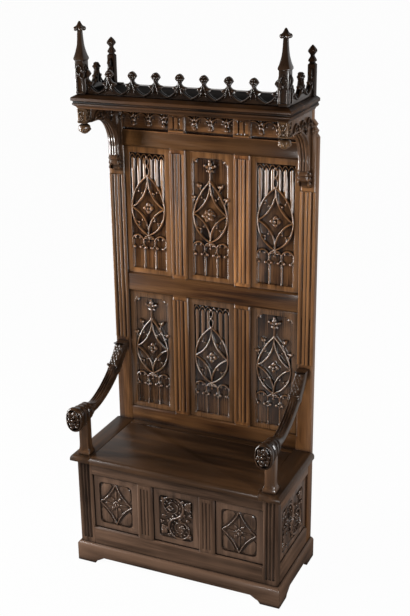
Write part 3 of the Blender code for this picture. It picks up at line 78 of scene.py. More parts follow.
@dataclass(frozen=True)
class WoodFinish:
    """A waxed wood: its colours, its gloss and the size of its figure.

    Attributes:
        name: The finish's own name.
        deep: Colour of pores, and of the painted shade in hollows.
        body: Main colour.
        worn: Colour where hands and cloths have rubbed the stain thin; it is also the colour of the painted
            highlights on edges and of the painted light bands.
        roughness: Mean roughness of the surface.
        coat: Weight of the wax coat.
        edge_wear_and_glint: How strongly edges show the worn colour, for rubbed edges and as painted highlight
            along them.
        hollow: How strongly the painted shade darkens hollows.
        specular: Strength of the bare wood's reflection.
        wear_and_light_band: Axis of a band in the worn colour, where it starts and ends, and its strength; on
            the seat's front it is rubbed by use, elsewhere it is painted light and painted shade.
        coat_rough: Roughness of the wax coat.
        coat_index: Refractive index of the wax coat.
        reach: Distance within which a hollow takes painted shade.
    """

    name: str
    deep: Colour
    body: Colour
    worn: Colour
    roughness: float
    coat: float
    edge_wear_and_glint: float
    hollow: float
    specular: float = 0.12
    wear_and_light_band: tuple[int, float, float, float] | None = None
    coat_rough: float = 0.14
    coat_index: float = 1.65
    reach: float = 0.018

    def material(self, grain: Grain, shift: float, tint: float) -> bpy.types.Material:
        """Build the wood's shader for one grain direction.

        Args:
            grain: Axis that the fibres follow.
            shift: Offset of the figure, so that boards differ.
            tint: Lightness of the board, 1 for the finish as it is.

        Returns:
            The new or already made material.
        """
        title = f"{self.name}_{grain.name.lower()}_{round(shift * 10)}_{round(tint * 100)}"
        if title in bpy.data.materials:
            return bpy.data.materials[title]
        material = bpy.data.materials.new(title)
        material.use_nodes = True
        sheet = ShaderSheet(material.node_tree)
        place = sheet.place("Object")
        figure, fibre = (self.stretched_noise(sheet, place, grain, shift, *size) for size in (FIGURE, FIBRE))
        tone = sheet.math("MULTIPLY_ADD", figure, 0.70, sheet.math("MULTIPLY", fibre, 0.30))
        # Painted shade: hollows are darkened by how closed in they are.
        painted_shade = sheet.span(sheet.occlusion(self.reach), 0.45, 0.97, self.hollow, 0.0)
        rough = sheet.span(fibre, 0.30, 0.70, self.roughness - 0.06, self.roughness + 0.08)
        bump = sheet.add("ShaderNodeBump")
        bump.inputs["Strength"].default_value = 0.35
        bump.inputs["Distance"].default_value = 0.0006
        sheet.link(tone, bump.inputs["Height"])
        for title, value in (("Base Color", self.colour(sheet, place, tone, painted_shade, shift, tint)),
                             ("Roughness", sheet.math("MULTIPLY_ADD", painted_shade, 0.25, rough)),
                             ("Coat Weight", self.coat), ("Coat Roughness", self.coat_rough),
                             ("Coat IOR", self.coat_index), ("Specular IOR Level", self.specular),
                             ("Normal", bump.outputs["Normal"])):
            sheet.feed(value, sheet.principled.inputs[title])
        return material

    def colour(self, sheet: "ShaderSheet", place: Socket, tone: Socket, painted_shade: Socket, shift: float,
               tint: float) -> Socket:
        """Mix the wood's colour from its figure, its worn patches, edges and bands, and the painted shade in its
        hollows; the edges and bands are partly painted highlight and painted light.

        Args:
            sheet: Shader that takes the nodes.
            place: Object coordinates.
            tone: The figure.
            painted_shade: Share of painted shade in the hollows.
            shift: Offset of the rubbed patches.
            tint: Lightness of the board.

        Returns:
            The colour.
        """
        deep, body, worn = (tuple(tint * part for part in colour)
                            for colour in (self.deep, self.body, self.worn))
        wood = sheet.ramp(tone, ((0.36, deep), (0.49, body), (0.64, worn)))
        patch = sheet.noise(place, scale=4.5, detail=2.0, shift=shift)
        shares = [sheet.span(patch, 0.46, 0.70, 0.0, 0.45)]
        # A band along one axis takes the worn colour: rubbed by use on the seat's front, painted light and
        # painted shade on the rails, stiles, tracery and cornice.
        if self.wear_and_light_band:
            axis, start, end, strength = self.wear_and_light_band
            near = sheet.span(sheet.axis(place, axis), start, end, strength, 0.0)
            shares.append(sheet.math("MULTIPLY", near, sheet.span(tone, 0.40, 0.56, 0.25, 1.0)))
        # Edges take the worn colour: partly real rubbed edges, partly painted highlight along them.
        edge = sheet.add("ShaderNodeNewGeometry").outputs["Pointiness"]
        shares.append(sheet.span(edge, 0.51, 0.60, 0.0, self.edge_wear_and_glint))
        for share in shares:
            wood = sheet.mix(share, wood, worn)
        return sheet.mix(painted_shade, wood, deep)

    @staticmethod
    def stretched_noise(sheet: "ShaderSheet", place: Socket, grain: Grain, shift: float,
                        across: float, along: float, detail: float) -> Socket:
        """Add a noise that is drawn out along the grain.

        Args:
            sheet: Shader that takes the nodes.
            place: Object coordinates.
            grain: Axis that the fibres follow.
            shift: Offset of the figure.
            across: Repeats per metre across the grain.
            along: Repeats per metre along the grain.
            detail: Octaves of the noise.

        Returns:
            The noise's value.
        """
        mapping = sheet.add("ShaderNodeMapping")
        stretch = [across, across, across]
        stretch[grain.value] = along
        mapping.inputs["Scale"].default_value = stretch
        mapping.inputs["Location"].default_value = (shift * 3.1, shift * 5.7, shift * 7.3)
        sheet.link(place, mapping.inputs["Vector"])
        return sheet.noise(mapping.outputs["Vector"], scale=1.0, detail=detail, shift=0.0)


@dataclass(frozen=True)
class IronFinish:
    """Darkened iron of the hinges."""

    name: str
    colour: Colour
    rust: Colour
    roughness: float

    def material(self, grain: Grain, shift: float, tint: float) -> bpy.types.Material:
        """Build the iron's shader, which has no grain.

        Args:
            grain: Not used by metal.
            shift: Offset of the stains.
            tint: Not used by metal.

        Returns:
            The new or already made material.
        """
        title = self.name + "_finish"
        if title in bpy.data.materials:
            return bpy.data.materials[title]
        material = bpy.data.materials.new(title)
        material.use_nodes = True
        sheet = ShaderSheet(material.node_tree)
        stain = sheet.noise(sheet.place("Object"), scale=160.0, detail=4.0, shift=shift)
        shader = sheet.principled
        sheet.link(sheet.ramp(stain, ((0.40, self.colour), (0.72, self.rust))), shader.inputs["Base Color"])
        rough = sheet.span(stain, 0.3, 0.7, self.roughness - 0.08, self.roughness + 0.2)
        sheet.link(rough, shader.inputs["Roughness"])
        shader.inputs["Metallic"].default_value = 0.9
        return material


class ShaderSheet:
    """A node tree, with short ways to add the nodes that the finishes and the studio share."""

    def __init__(self, tree: bpy.types.NodeTree) -> None:
        """Take the tree."""
        self.tree = tree

    @property
    def principled(self) -> bpy.types.Node:
        """The tree's Principled shader."""
        return self.tree.nodes["Principled BSDF"]

    def add(self, kind: str) -> bpy.types.Node:
        """Add one node of a kind."""
        return self.tree.nodes.new(kind)

    def link(self, source: Socket, target: Socket) -> None:
        """Join two sockets."""
        self.tree.links.new(source, target)

    def place(self, kind: str) -> Socket:
        """Add one kind of coordinates."""
        return self.add("ShaderNodeTexCoord").outputs[kind]

    def axis(self, place: Socket, index: int) -> Socket:
        """Take one axis of some coordinates.

        Args:
            place: The coordinates.
            index: Number of the axis.

        Returns:
            The distance along that axis.
        """
        node = self.add("ShaderNodeSeparateXYZ")
        self.link(place, node.inputs["Vector"])
        return node.outputs[index]

    def blend(self, share: Socket, first: Socket, second: Socket, output: str) -> None:
        """Mix two shaders and send them to the tree's output.

        Args:
            share: Share of the second shader.
            first: First shader.
            second: Second shader.
            output: Name of the output node.
        """
        node = self.add("ShaderNodeMixShader")
        for source, target in zip((share, first, second), node.inputs):
            self.link(source, target)
        self.link(node.outputs["Shader"], self.tree.nodes[output].inputs["Surface"])

    def feed(self, value: Socket | float, target: Socket) -> None:
        """Set a socket.

        Args:
            value: Number or other socket that it is set from.
            target: Socket to set.
        """
        if isinstance(value, (int, float)):
            target.default_value = value
        else:
            self.link(value, target)

    def noise(self, place: Socket, scale: float, detail: float, shift: float) -> Socket:
        """Add a noise texture.

        Args:
            place: Coordinates that it reads.
            scale: Repeats per unit.
            detail: Octaves.
            shift: Fourth coordinate, so that pieces differ.

        Returns:
            The noise's value.
        """
        node = self.add("ShaderNodeTexNoise")
        node.noise_dimensions = "4D"
        node.inputs["Scale"].default_value = scale
        node.inputs["Detail"].default_value = detail
        node.inputs["W"].default_value = shift
        self.link(place, node.inputs["Vector"])
        return node.outputs["Fac"]

    def math(self, operation: str, *values: Socket | float) -> Socket:
        """Add a calculation with sockets and numbers.

        Args:
            operation: Blender's name of the operation.
            values: Its inputs in order.

        Returns:
            The result.
        """
        node = self.add("ShaderNodeMath")
        node.operation = operation
        for value, target in zip(values, node.inputs):
            self.feed(value, target)
        return node.outputs["Value"]

    def span(self, value: Socket, low: float, high: float, first: float,
             last: float) -> Socket:
        """Map a range of values to another, with clamped ends.

        Args:
            value: Value to map.
            low: Value that gives first.
            high: Value that gives last.
            first: Result at low.
            last: Result at high.

        Returns:
            The mapped value.
        """
        node = self.add("ShaderNodeMapRange")
        for title, number in (("From Min", low), ("From Max", high), ("To Min", first), ("To Max", last)):
            node.inputs[title].default_value = number
        self.link(value, node.inputs["Value"])
        return node.outputs["Result"]

    def ramp(self, value: Socket, stops: Sequence[tuple[float, Colour]]) -> Socket:
        """Add a colour ramp.

        Args:
            value: Where along the ramp to read.
            stops: Places and colours.

        Returns:
            The colour.
        """
        node = self.add("ShaderNodeValToRGB")
        marks = node.color_ramp.elements
        while len(marks) < len(stops):
            marks.new(0.5)
        for mark, (place, colour) in zip(marks, stops):
            mark.position = place
            mark.color = (*colour, 1.0)
        self.link(value, node.inputs["Fac"])
        return node.outputs["Color"]

    def mix(self, share: Socket, first: Socket, second: Colour) -> Socket:
        """Mix a colour into another by a share.

        Args:
            share: Share of the second colour.
            first: Colour that is mixed into.
            second: Colour that is added.

        Returns:
            The mixed colour.
        """
        node = self.add("ShaderNodeMix")
        node.data_type = "RGBA"
        self.link(share, node.inputs["Factor"])
        colours = [socket for socket in node.inputs if socket.type == "RGBA"]
        self.link(first, colours[0])
        colours[1].default_value = (*second, 1.0)
        return next(socket for socket in node.outputs if socket.type == "RGBA")

    def occlusion(self, distance: float) -> Socket:
        """Add a measure of how open the surface is.

        Args:
            distance: How far it looks for other surfaces.

        Returns:
            The measure, 1 where nothing is near.
        """
        node = self.add("ShaderNodeAmbientOcclusion")
        node.samples = 6
        node.inputs["Distance"].default_value = distance
        return node.outputs["AO"]


FRAME_WOOD = WoodFinish("frame_wood", deep=(0.0065, 0.0023, 0.0009), body=(0.044, 0.0165, 0.0050),
                        worn=(0.115, 0.0520, 0.0180), roughness=0.36, coat=0.18, edge_wear_and_glint=0.30, hollow=0.90)
# Painted light: the top rail is lighter at its left end and darker towards the right.
TOP_RAIL_WOOD = replace(FRAME_WOOD, name="top_rail_wood", wear_and_light_band=(0, -0.36, 0.26, 0.85))
# Painted light: the stiles are lighter towards the top and darker lower down.
STILE_WOOD = replace(FRAME_WOOD, name="stile_wood", worn=(0.165, 0.075, 0.027), wear_and_light_band=(2, 1.64, 0.80, 0.95))
PANEL_WOOD = WoodFinish("panel_wood", deep=(0.0028, 0.0011, 0.0006), body=(0.036, 0.0140, 0.0047),
                        worn=(0.100, 0.0450, 0.0165), roughness=0.30, coat=1.0, edge_wear_and_glint=0.55, hollow=1.0,
                        reach=0.026)
# Painted light and painted shade: the tracery is lighter near the panels' face, on the proud ribs, and darker on
# the sunk ground; the lower panels' lighter worn colour adds painted highlight on their ribs.
TRACERY_WOOD = replace(PANEL_WOOD, name="tracery_wood", worn=(0.135, 0.061, 0.022),
                       wear_and_light_band=(1, 0.2045, 0.2120, 0.85))
LOWER_WOOD = replace(TRACERY_WOOD, name="lower_wood", worn=(0.1500, 0.0720, 0.0300), coat_index=1.8)
SEAT_WOOD = WoodFinish("seat_wood", deep=(0.0040, 0.0018, 0.0009), body=(0.0130, 0.0061, 0.0028),
                       worn=(0.0520, 0.0240, 0.0098), roughness=0.42, coat=0.30, edge_wear_and_glint=0.40, hollow=0.70,
                       wear_and_light_band=(1, -0.185, -0.075, 0.60), coat_rough=0.28)
END_WOOD = replace(SEAT_WOOD, name="end_wood", wear_and_light_band=None)
HINGE_RAIL_WOOD = replace(END_WOOD, name="hinge_rail_wood", coat=0.05)
CANOPY_WOOD = WoodFinish("canopy_wood", deep=(0.0020, 0.0010, 0.0006), body=(0.0100, 0.0044, 0.0019),
                         worn=(0.0400, 0.0180, 0.0074), roughness=0.40, coat=0.05, edge_wear_and_glint=0.50, hollow=0.90)
# Painted shade and painted highlight: the cornice is lighter at its foot and darker up its slope, and its edges
# take a bright worn colour as highlight.
CORNICE_WOOD = replace(CANOPY_WOOD, name="cornice_wood", worn=(0.1900, 0.0810, 0.0300), edge_wear_and_glint=0.60,
                       wear_and_light_band=(2, 1.814, 1.830, 0.60))
CHEST_WOOD = WoodFinish("chest_wood", deep=(0.0034, 0.0019, 0.0012), body=(0.0380, 0.0212, 0.0132),
                        worn=(0.0920, 0.0530, 0.0335), roughness=0.36, coat=0.08, edge_wear_and_glint=0.40, hollow=0.95)
PLINTH_WOOD = replace(CHEST_WOOD, name="plinth_wood", edge_wear_and_glint=0.85)
COFFER_WOOD = replace(CHEST_WOOD, name="coffer_wood", coat=0.50)
ARM_WOOD = WoodFinish("arm_wood", deep=(0.0018, 0.0009, 0.0005), body=(0.0125, 0.0058, 0.0027),
                      worn=(0.0480, 0.0235, 0.0110), roughness=0.32, coat=0.40, edge_wear_and_glint=0.50, hollow=0.95)
# The crest's and pinnacles' edges are strongly lightened as painted highlight.
CREST_WOOD = replace(ARM_WOOD, name="crest_wood", coat=0.70, edge_wear_and_glint=0.80)
# The pendants' edges take a bright worn colour as painted highlight.
PENDANT_WOOD = replace(PANEL_WOOD, name="pendant_wood", coat=0.45, edge_wear_and_glint=0.95, worn=(0.190, 0.105, 0.050))
ROOF_WOOD = WoodFinish("roof_wood", deep=(0.0020, 0.0012, 0.0008), body=(0.0070, 0.0041, 0.0025),
                       worn=(0.0140, 0.0085, 0.0052), roughness=0.80, coat=0.0, edge_wear_and_glint=0.10, hollow=0.50,
                       specular=0.05)
HIDDEN_WOOD = WoodFinish("hidden_wood", deep=(0.022, 0.013, 0.0075), body=(0.060, 0.036, 0.020),
                         worn=(0.095, 0.060, 0.035), roughness=0.62, coat=0.0, edge_wear_and_glint=0.15, hollow=0.60)
DARK_IRON = IronFinish("dark_iron", colour=(0.030, 0.025, 0.022), rust=(0.060, 0.036, 0.022), roughness=0.58)
FINISHES = {finish.name: finish for finish in
            (FRAME_WOOD, PANEL_WOOD, SEAT_WOOD, CANOPY_WOOD, HIDDEN_WOOD, DARK_IRON)}
SLOT_OF_NODE = {row["node"]: row["material_slot"] for row in frame["record"]["subparts"]}
BODY_OF_NODE = {node: body for body, nodes in frame["record"]["behaviour"]["bodies"].items()
                for node in nodes}
DRESSED: set[str] = set()
# First match of a node's name: its finish and its lightness.
LOOKS: tuple[tuple[str, WoodFinish, float], ...] = (
    ("back_muntin_upper_right", FRAME_WOOD, 2.35),
    ("back_muntin_upper_left", FRAME_WOOD, 1.55),
    ("back_muntin_lower", FRAME_WOOD, 1.15),
    ("back_stile_right", STILE_WOOD, 0.98),
    ("back_stile_left", STILE_WOOD, 0.62),
    ("back_middle_rail", FRAME_WOOD, 0.70),
    ("back_bottom_rail", FRAME_WOOD, 0.61),
    ("back_top_rail", TOP_RAIL_WOOD, 0.57),
    # The head board is tinted lighter; part of that is painted highlight standing in for the glints on its
    # arches.
    ("back_head_board", PANEL_WOOD, 1.95),
    ("back_panel_upper_left", TRACERY_WOOD, 1.30),
    ("back_panel_upper", TRACERY_WOOD, 1.02),
    ("back_panel_lower", LOWER_WOOD, 0.62),
    ("chest_back", HIDDEN_WOOD, 1.0),
    ("chest_floor", HIDDEN_WOOD, 1.0),
    # The chest's sides and side panels are tinted lighter than its front: painted light.
    ("chest_side_panel", COFFER_WOOD, 1.50),
    ("chest_side", CHEST_WOOD, 1.50),
    ("chest_front_panel", COFFER_WOOD, 1.15),
    ("chest_", CHEST_WOOD, 1.06),
    ("plinth", PLINTH_WOOD, 1.05),
    ("arm_post", ARM_WOOD, 1.80),
    ("arm_", ARM_WOOD, 1.0),
    ("canopy_board", ROOF_WOOD, 1.0),
    # The left bracket is tinted darker than its right-hand copy: painted shade.
    ("canopy_bracket_left", ARM_WOOD, 1.4),
    ("canopy_bracket", ARM_WOOD, 2.2),
    # The left pendant is tinted darker than its right-hand copy: painted shade.
    ("pendant_left", PENDANT_WOOD, 0.45),
    ("pendant", PENDANT_WOOD, 0.75),
    ("cornice", CORNICE_WOOD, 0.33),
    ("crest", CREST_WOOD, 0.60),
    ("pinnacle", CREST_WOOD, 0.65),
    ("seat_end", END_WOOD, 1.0),
    ("seat_hinge_rail", HINGE_RAIL_WOOD, 1.0))
# How far the foot of a carving reaches into the wood.
SINK = 0.0012
# Size of a sunk field's floor as a share of its mouth.
FIELD_SLOPE = 0.985
# Distance of the cut through a stile over the roof.
ROOF_GAP = 0.0005
EDGE_SEGMENTS = 2
EDGE_ANGLE = math.radians(35.0)
EASED_ANGLE = math.radians(40.0)
CARVED_ANGLE = math.radians(38.0)
ROUND_STEP = math.radians(10.0)
# Heights and widths of a mound's rings, as shares of its height and of its foot.
MOUND_LEVELS = ((0.50, 0.95), (0.85, 0.72), (1.0, 0.36))
# Direction to the right on the upright sides that face four ways.
RIGHT_OF = {"front": (1, 0, 0), "rear": (-1, 0, 0), "left": (0, -1, 0), "right": (0, 1, 0)}


def deselect_all() -> None:
    """Leave edit mode and drop every selection."""
    active = bpy.context.view_layer.objects.active
    if active and active.mode != "OBJECT":
        bpy.ops.object.mode_set(mode="OBJECT")
    bpy.ops.object.select_all(action="DESELECT")


def pick(piece: Piece) -> None:
    """Select one piece alone and make it active."""
    deselect_all()
    piece.select_set(True)
    bpy.context.view_layer.objects.active = piece


@contextmanager
def editing(piece: Piece) -> Iterator[None]:
    """Open a piece in edit mode with all of it selected, and close it afterwards."""
    pick(piece)
    bpy.ops.object.mode_set(mode="EDIT")
    bpy.ops.mesh.select_all(action="SELECT")
    yield
    bpy.ops.object.mode_set(mode="OBJECT")


def soften(piece: Piece, width: float) -> None:
    """Round a piece's hard edges with an applied bevel, and shade it.

    Args:
        piece: Piece to round.
        width: Width of the rounding.
    """
    pick(piece)
    step = piece.modifiers.new("soft_edges", "BEVEL")
    step.width = width
    step.segments = EDGE_SEGMENTS
    step.limit_method = "ANGLE"
    step.angle_limit = EDGE_ANGLE
    step.use_clamp_overlap = True
    step.miter_outer = "MITER_SHARP"
    bpy.ops.object.modifier_apply(modifier=step.name)
    bpy.ops.object.shade_smooth_by_angle(angle=EASED_ANGLE)


def copy_node(node: str, name: str) -> Piece:
    """Copy a node's mesh into a new piece, with its triangles merged back into faces.

    Args:
        node: Node to copy.
        name: Name of the new piece.

    Returns:
        The new piece.
    """
    piece = bpy.data.objects.new(name, frame["nodes"][node].data.copy())
    bpy.context.scene.collection.objects.link(piece)
    with editing(piece):
        bpy.ops.mesh.remove_doubles(threshold=0.00002)
        bpy.ops.mesh.dissolve_limited(angle_limit=math.radians(1.0))
    return piece


def dress(piece: Piece, node: str, grain: Grain, shift: float) -> None:
    """Give a piece its finish, put it on its body and let it stand for a node.

    Args:
        piece: Finished piece.
        node: Node that it stands for.
        grain: Axis of its grain.
        shift: Offset of its figure.
    """
    slot = SLOT_OF_NODE[node]
    piece.data.materials.clear()
    looks = ((finish, tint) for start, finish, tint in LOOKS if node.startswith(start))
    finish, tint = next(looks, (FINISHES[slot], 1.0))
    piece.data.materials.append(finish.material(grain, shift, tint))
    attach(piece, BODY_OF_NODE[node])
    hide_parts(node)
    DRESSED.add(node)
    LOG.info("%s stands for %s, %d faces", piece.name, node, len(piece.data.polygons))


def dress_pair(piece: Piece, kind: str, grain: Grain, shift: float) -> None:
    """Dress a right-hand piece, and a copy of it for the left hand.

    Args:
        piece: Finished right-hand piece, the same on both its sides.
        kind: The two nodes' names without the hand.
        grain: Axis of the grain.
        shift: Offset of the figure.
    """
    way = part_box(kind + "_left")[0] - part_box(kind + "_right")[0]
    other = copy_piece(piece, piece.name.replace("right", "left"), way)
    dress(piece, kind + "_right", grain, shift)
    dress(other, kind + "_left", grain, shift + 0.3)


@dataclass(frozen=True)
class Side:
    """A flat side that takes carving.

    Attributes:
        origin: Point where its two distances are zero.
        right: Direction of the first distance.
        up: Direction of the second distance.
    """

    origin: Vector
    right: Vector
    up: Vector

    @property
    def out(self) -> Vector:
        """The direction that points away from the wood."""
        return self.right.cross(self.up)

    def at(self, place: Vector, height: float) -> Vector:
        """Give the world point over a place on the side."""
        return self.origin + self.right * place.x + self.up * place.y + self.out * height

    def raised(self, height: float) -> "Side":
        """Give the same side at another height."""
        return Side(self.origin + self.out * height, self.right, self.up)


def facing(where: str, origin: Sequence[float]) -> Side:
    """Make an upright side that faces front, rear, left or right, with its zero at a point."""
    return Side(Vector(origin), Vector(RIGHT_OF[where]), Vector((0, 0, 1)))


def lying(origin: Vector) -> Side:
    """Make a level side that faces up."""
    return Side(origin, Vector((1, 0, 0)), Vector((0, 1, 0)))


def spot(across: float, up: float) -> Vector:
    """Make a place on a side from its two distances."""
    return Vector((across, up))


def turned(way: Vector, angle: float) -> Vector:
    """Turn a direction on a side to the left by an angle."""
    cosine, sine = math.cos(angle), math.sin(angle)
    return Vector((way.x * cosine - way.y * sine, way.x * sine + way.y * cosine))


def circle(radius: float, corners: int) -> list[Vector]:
    """List the corners of a round outline about a side's zero point."""
    return [turned(spot(radius, 0.0), 2 * math.pi * index / corners) for index in range(corners)]


@dataclass(frozen=True)
class Arc:
    """A round line on a side, straight where its rise is zero.

    Attributes:
        start: First end.
        end: Last end.
        rise: How far it bulges to the left of its chord.
    """

    start: Vector
    end: Vector
    rise: float = 0.0

    @property
    def straight(self) -> bool:
        """Whether the line has no bulge."""
        return abs(self.rise) < 1e-6

    @property
    def turn(self) -> float:
        """How far the line turns on its way, to the left."""
        chord = (self.end - self.start).length
        return -math.copysign(4 * math.atan2(2 * abs(self.rise), chord), self.rise)

    @property
    def heading(self) -> Vector:
        """The line's direction at its start."""
        chord = (self.end - self.start).normalized()
        return chord if self.straight else turned(chord, -self.turn / 2)

    @property
    def centre(self) -> Vector:
        """The middle of the line's circle."""
        chord = self.end - self.start
        radius = (chord.length_squared / 4 + self.rise ** 2) / (2 * abs(self.rise))
        left = turned(chord.normalized(), math.pi / 2)
        return (self.start + self.end) / 2 + left * (self.rise - math.copysign(radius, self.rise))

    def at(self, share: float) -> Vector:
        """Give the place at a share of the line's length.

        Args:
            share: The share, from 0 at the start to 1 at the end.

        Returns:
            The place.
        """
        if self.straight:
            return self.start.lerp(self.end, share)
        return self.centre + turned(self.start - self.centre, self.turn * share)

    def left_of(self, share: float) -> Vector:
        """Give the direction to the left of the line at a share of its length."""
        return turned(self.heading, self.turn * share * (not self.straight) + math.pi / 2)


def bow(start: Vector, end: Vector, towards: Vector, share: float) -> Arc:
    """Make an arc that bulges towards a place.

    Args:
        start: First end.
        end: Last end.
        towards: Place on the side of the bulge.
        share: Bulge as a share of the chord.

    Returns:
        The arc.
    """
    chord = end - start
    left = turned(chord, math.pi / 2)
    return Arc(start, end, math.copysign(share * chord.length, left.dot(towards - start)))


@dataclass(frozen=True)
class Rib:
    """The section of a carved rib.

    Attributes:
        width: Width at its foot.
        height: Height of its ridge.
        ridge: Width of the ridge as a share of the foot.
        waist: Height of the hollow flank at its middle as a share of the ridge's height.
    """

    width: float
    height: float
    ridge: float = 0.30
    waist: float = 0.46

    def section(self) -> list[Pair]:
        """List the section's points as distance to the left and height."""
        half = self.width / 2
        top = half * self.ridge
        flank = 0.55 * half + 0.45 * top
        right = [(half, -SINK), (half, 0.12 * self.height), (flank, self.waist * self.height),
                 (1.5 * top, 0.80 * self.height), (top, 0.95 * self.height), (0.4 * top, self.height)]
        return right + [(-across, height) for across, height in reversed(right)]


class Carver:
    """A chisel on one side of a piece, which adds relief in edit mode."""

    def __init__(self, piece: Piece, side: Side) -> None:
        """Take the piece and the side."""
        self.piece = piece
        self.side = side

    def __enter__(self) -> "Carver":
        """Open the piece in edit mode."""
        pick(self.piece)
        bpy.ops.object.mode_set(mode="EDIT")
        return self

    def __exit__(self, *trouble: object) -> None:
        """Turn all faces outward and close edit mode."""
        bpy.ops.mesh.select_all(action="SELECT")
        bpy.ops.mesh.normals_make_consistent(inside=False)
        bpy.ops.mesh.select_all(action="DESELECT")
        bpy.ops.object.mode_set(mode="OBJECT")

    def face(self, points: Sequence[Vector]) -> None:
        """Add one selected face.

        Args:
            points: World points of its corners.
        """
        bpy.ops.mesh.select_all(action="DESELECT")
        bpy.ops.mesh.primitive_circle_add(vertices=len(points), fill_type="NGON")
        mesh = bmesh.from_edit_mesh(self.piece.data)
        mesh.verts.ensure_lookup_table()
        for corner, point in zip(mesh.verts[-len(points):], points):
            corner.co = point
        bmesh.update_edit_mesh(self.piece.data)

    def extrude(self, way: Vector) -> None:
        """Draw the selected face out along a world vector."""
        bpy.ops.mesh.extrude_region_move(TRANSFORM_OT_translate={"value": way})

    def draw_to(self, first: Sequence[Vector], last: Sequence[Vector]) -> None:
        """Draw the selected face out so that its corners go to new places.

        Args:
            first: World points of the face's corners.
            last: World points that they go to, in the same order.
        """
        self.extrude(Vector((0.0, 0.0, 0.0)))
        mesh = bmesh.from_edit_mesh(self.piece.data)
        for corner in [corner for corner in mesh.verts if corner.select]:
            nearest = min(range(len(first)), key=lambda index: (first[index] - corner.co).length_squared)
            corner.co = last[nearest]
        bmesh.update_edit_mesh(self.piece.data)

    def loft(self, rings: Sequence[Sequence[Vector]]) -> None:
        """Add a body that runs through several rings.

        Args:
            rings: World points of each ring, as many in each and in the same order.
        """
        self.face(rings[0])
        for first, last in zip(rings, rings[1:]):
            self.draw_to(first, last)

    def scale(self, factor: float, about: Vector) -> None:
        """Scale the selected face about a world point."""
        bpy.ops.transform.resize(value=(factor, factor, factor), center_override=about)

    def sweep(self, path: Arc, section: Sequence[Pair], height: float, steps: int) -> None:
        """Draw a section out along a line.

        Args:
            path: Line that it follows.
            section: Its points as distance to the left and height.
            height: Height of the section's zero over the side.
            steps: Steps round an arc.
        """
        left = turned(path.heading, math.pi / 2)
        self.face([self.side.at(path.start + left * across, rise + height) for across, rise in section])
        if path.straight:
            way = path.end - path.start
            self.extrude(self.side.right * way.x + self.side.up * way.y)
        else:
            centre = self.side.at(path.centre, 0.0)
            bpy.ops.mesh.spin(steps=steps, angle=-path.turn, center=centre, axis=self.side.out)

    def rib(self, path: Arc, rib: Rib, height: float = 0.0) -> None:
        """Add a rib along the line of its middle, with its foot at a height over the side."""
        steps = max(3, math.ceil(abs(path.turn) / ROUND_STEP))
        self.sweep(path, rib.section(), height, steps)

    def tendril(self, start: Vector, heading: Vector, bends: Sequence[Pair], rib: Rib,
                taper: float) -> Vector:
        """Add a rib that winds through several bends and grows thinner.

        Args:
            start: Where it starts.
            heading: Its direction there.
            bends: Radius and turn in degrees of each bend, to the left where positive.
            rib: Section at its start.
            taper: Size kept at each step of the winding.

        Returns:
            The place of its tip.
        """
        left = turned(heading.normalized(), math.pi / 2)
        self.face([self.side.at(start + left * across, rise) for across, rise in rib.section()])
        place = start
        for radius, degrees in bends:
            steps = max(1, round(abs(degrees) / 18))
            turn = math.radians(degrees) / steps
            for _ in range(steps):
                centre = place + left * math.copysign(radius, turn)
                bpy.ops.mesh.spin(steps=1, angle=-turn, center=self.side.at(centre, 0.0),
                                  axis=self.side.out)
                place = centre + turned(place - centre, turn)
                left = turned(left, turn)
                self.scale(taper, self.side.at(place, 0.0))
        return place

    def mound(self, outline: Sequence[Vector], centre: Vector, height: float) -> None:
        """Add a rounded swelling over an outline.

        Args:
            outline: Its foot's corners.
            centre: Place that it narrows towards.
            height: Its height over the side.
        """
        level, size = -SINK, 1.0
        self.face([self.side.at(corner, level) for corner in outline])
        for share, width in MOUND_LEVELS:
            self.extrude(self.side.out * (share * height - level))
            level = share * height
            self.scale(width / size, self.side.at(centre, level))
            size = width

    def leaf(self, base: Vector, tip: Vector, width: float, height: float, lobes: int = 0) -> None:
        """Add a leaf, plain or lobed.

        Args:
            base: Where it grows from.
            tip: Its tip.
            width: Its greatest width.
            height: Its height.
            lobes: Lobes along each edge.
        """
        way = tip - base
        left = turned(way.normalized(), math.pi / 2)
        steps = 4 * lobes + 1 if lobes else 5
        edge = []
        for step in range(1, steps):
            share = step / steps
            reach = math.sin(math.pi * share ** 0.85) * (1.0 + 0.22 * math.sin(2 * math.pi * lobes * share))
            edge.append((share, reach * width / 2))
        outline = [base] + [base + way * share - left * reach for share, reach in edge] + [tip]
        outline += [base + way * share + left * reach for share, reach in reversed(edge)]
        self.mound(outline, base + way * 0.5, height)

    def ball(self, place: Vector, radius: float, height: float) -> None:
        """Add a small ball.

        Args:
            place: Where it sits.
            radius: Its radius.
            height: Height of its middle over the side.
        """
        bpy.ops.mesh.select_all(action="DESELECT")
        middle = self.side.at(place, height)
        bpy.ops.mesh.primitive_ico_sphere_add(subdivisions=2, radius=radius, location=middle)

    def drop(self, top: Vector, length: float, width: float, height: float) -> None:
        """Add a hanging drop that swells towards its lower end.

        Args:
            top: Its upper end.
            length: Its length.
            width: Its greatest width.
            height: Its height over the side.
        """
        ring = [spot(0.0, 0.0)]
        for share, reach in ((0.30, 0.30), (0.55, 0.72), (0.75, 1.0), (0.92, 0.72)):
            ring.append(spot(reach * width / 2, -share * length))
        ring.append(spot(0.0, -length))
        outline = [top + corner for corner in ring]
        outline += [top + spot(-corner.x, corner.y) for corner in reversed(ring[1:-1])]
        self.mound(outline, top - spot(0.0, 0.68 * length), height)

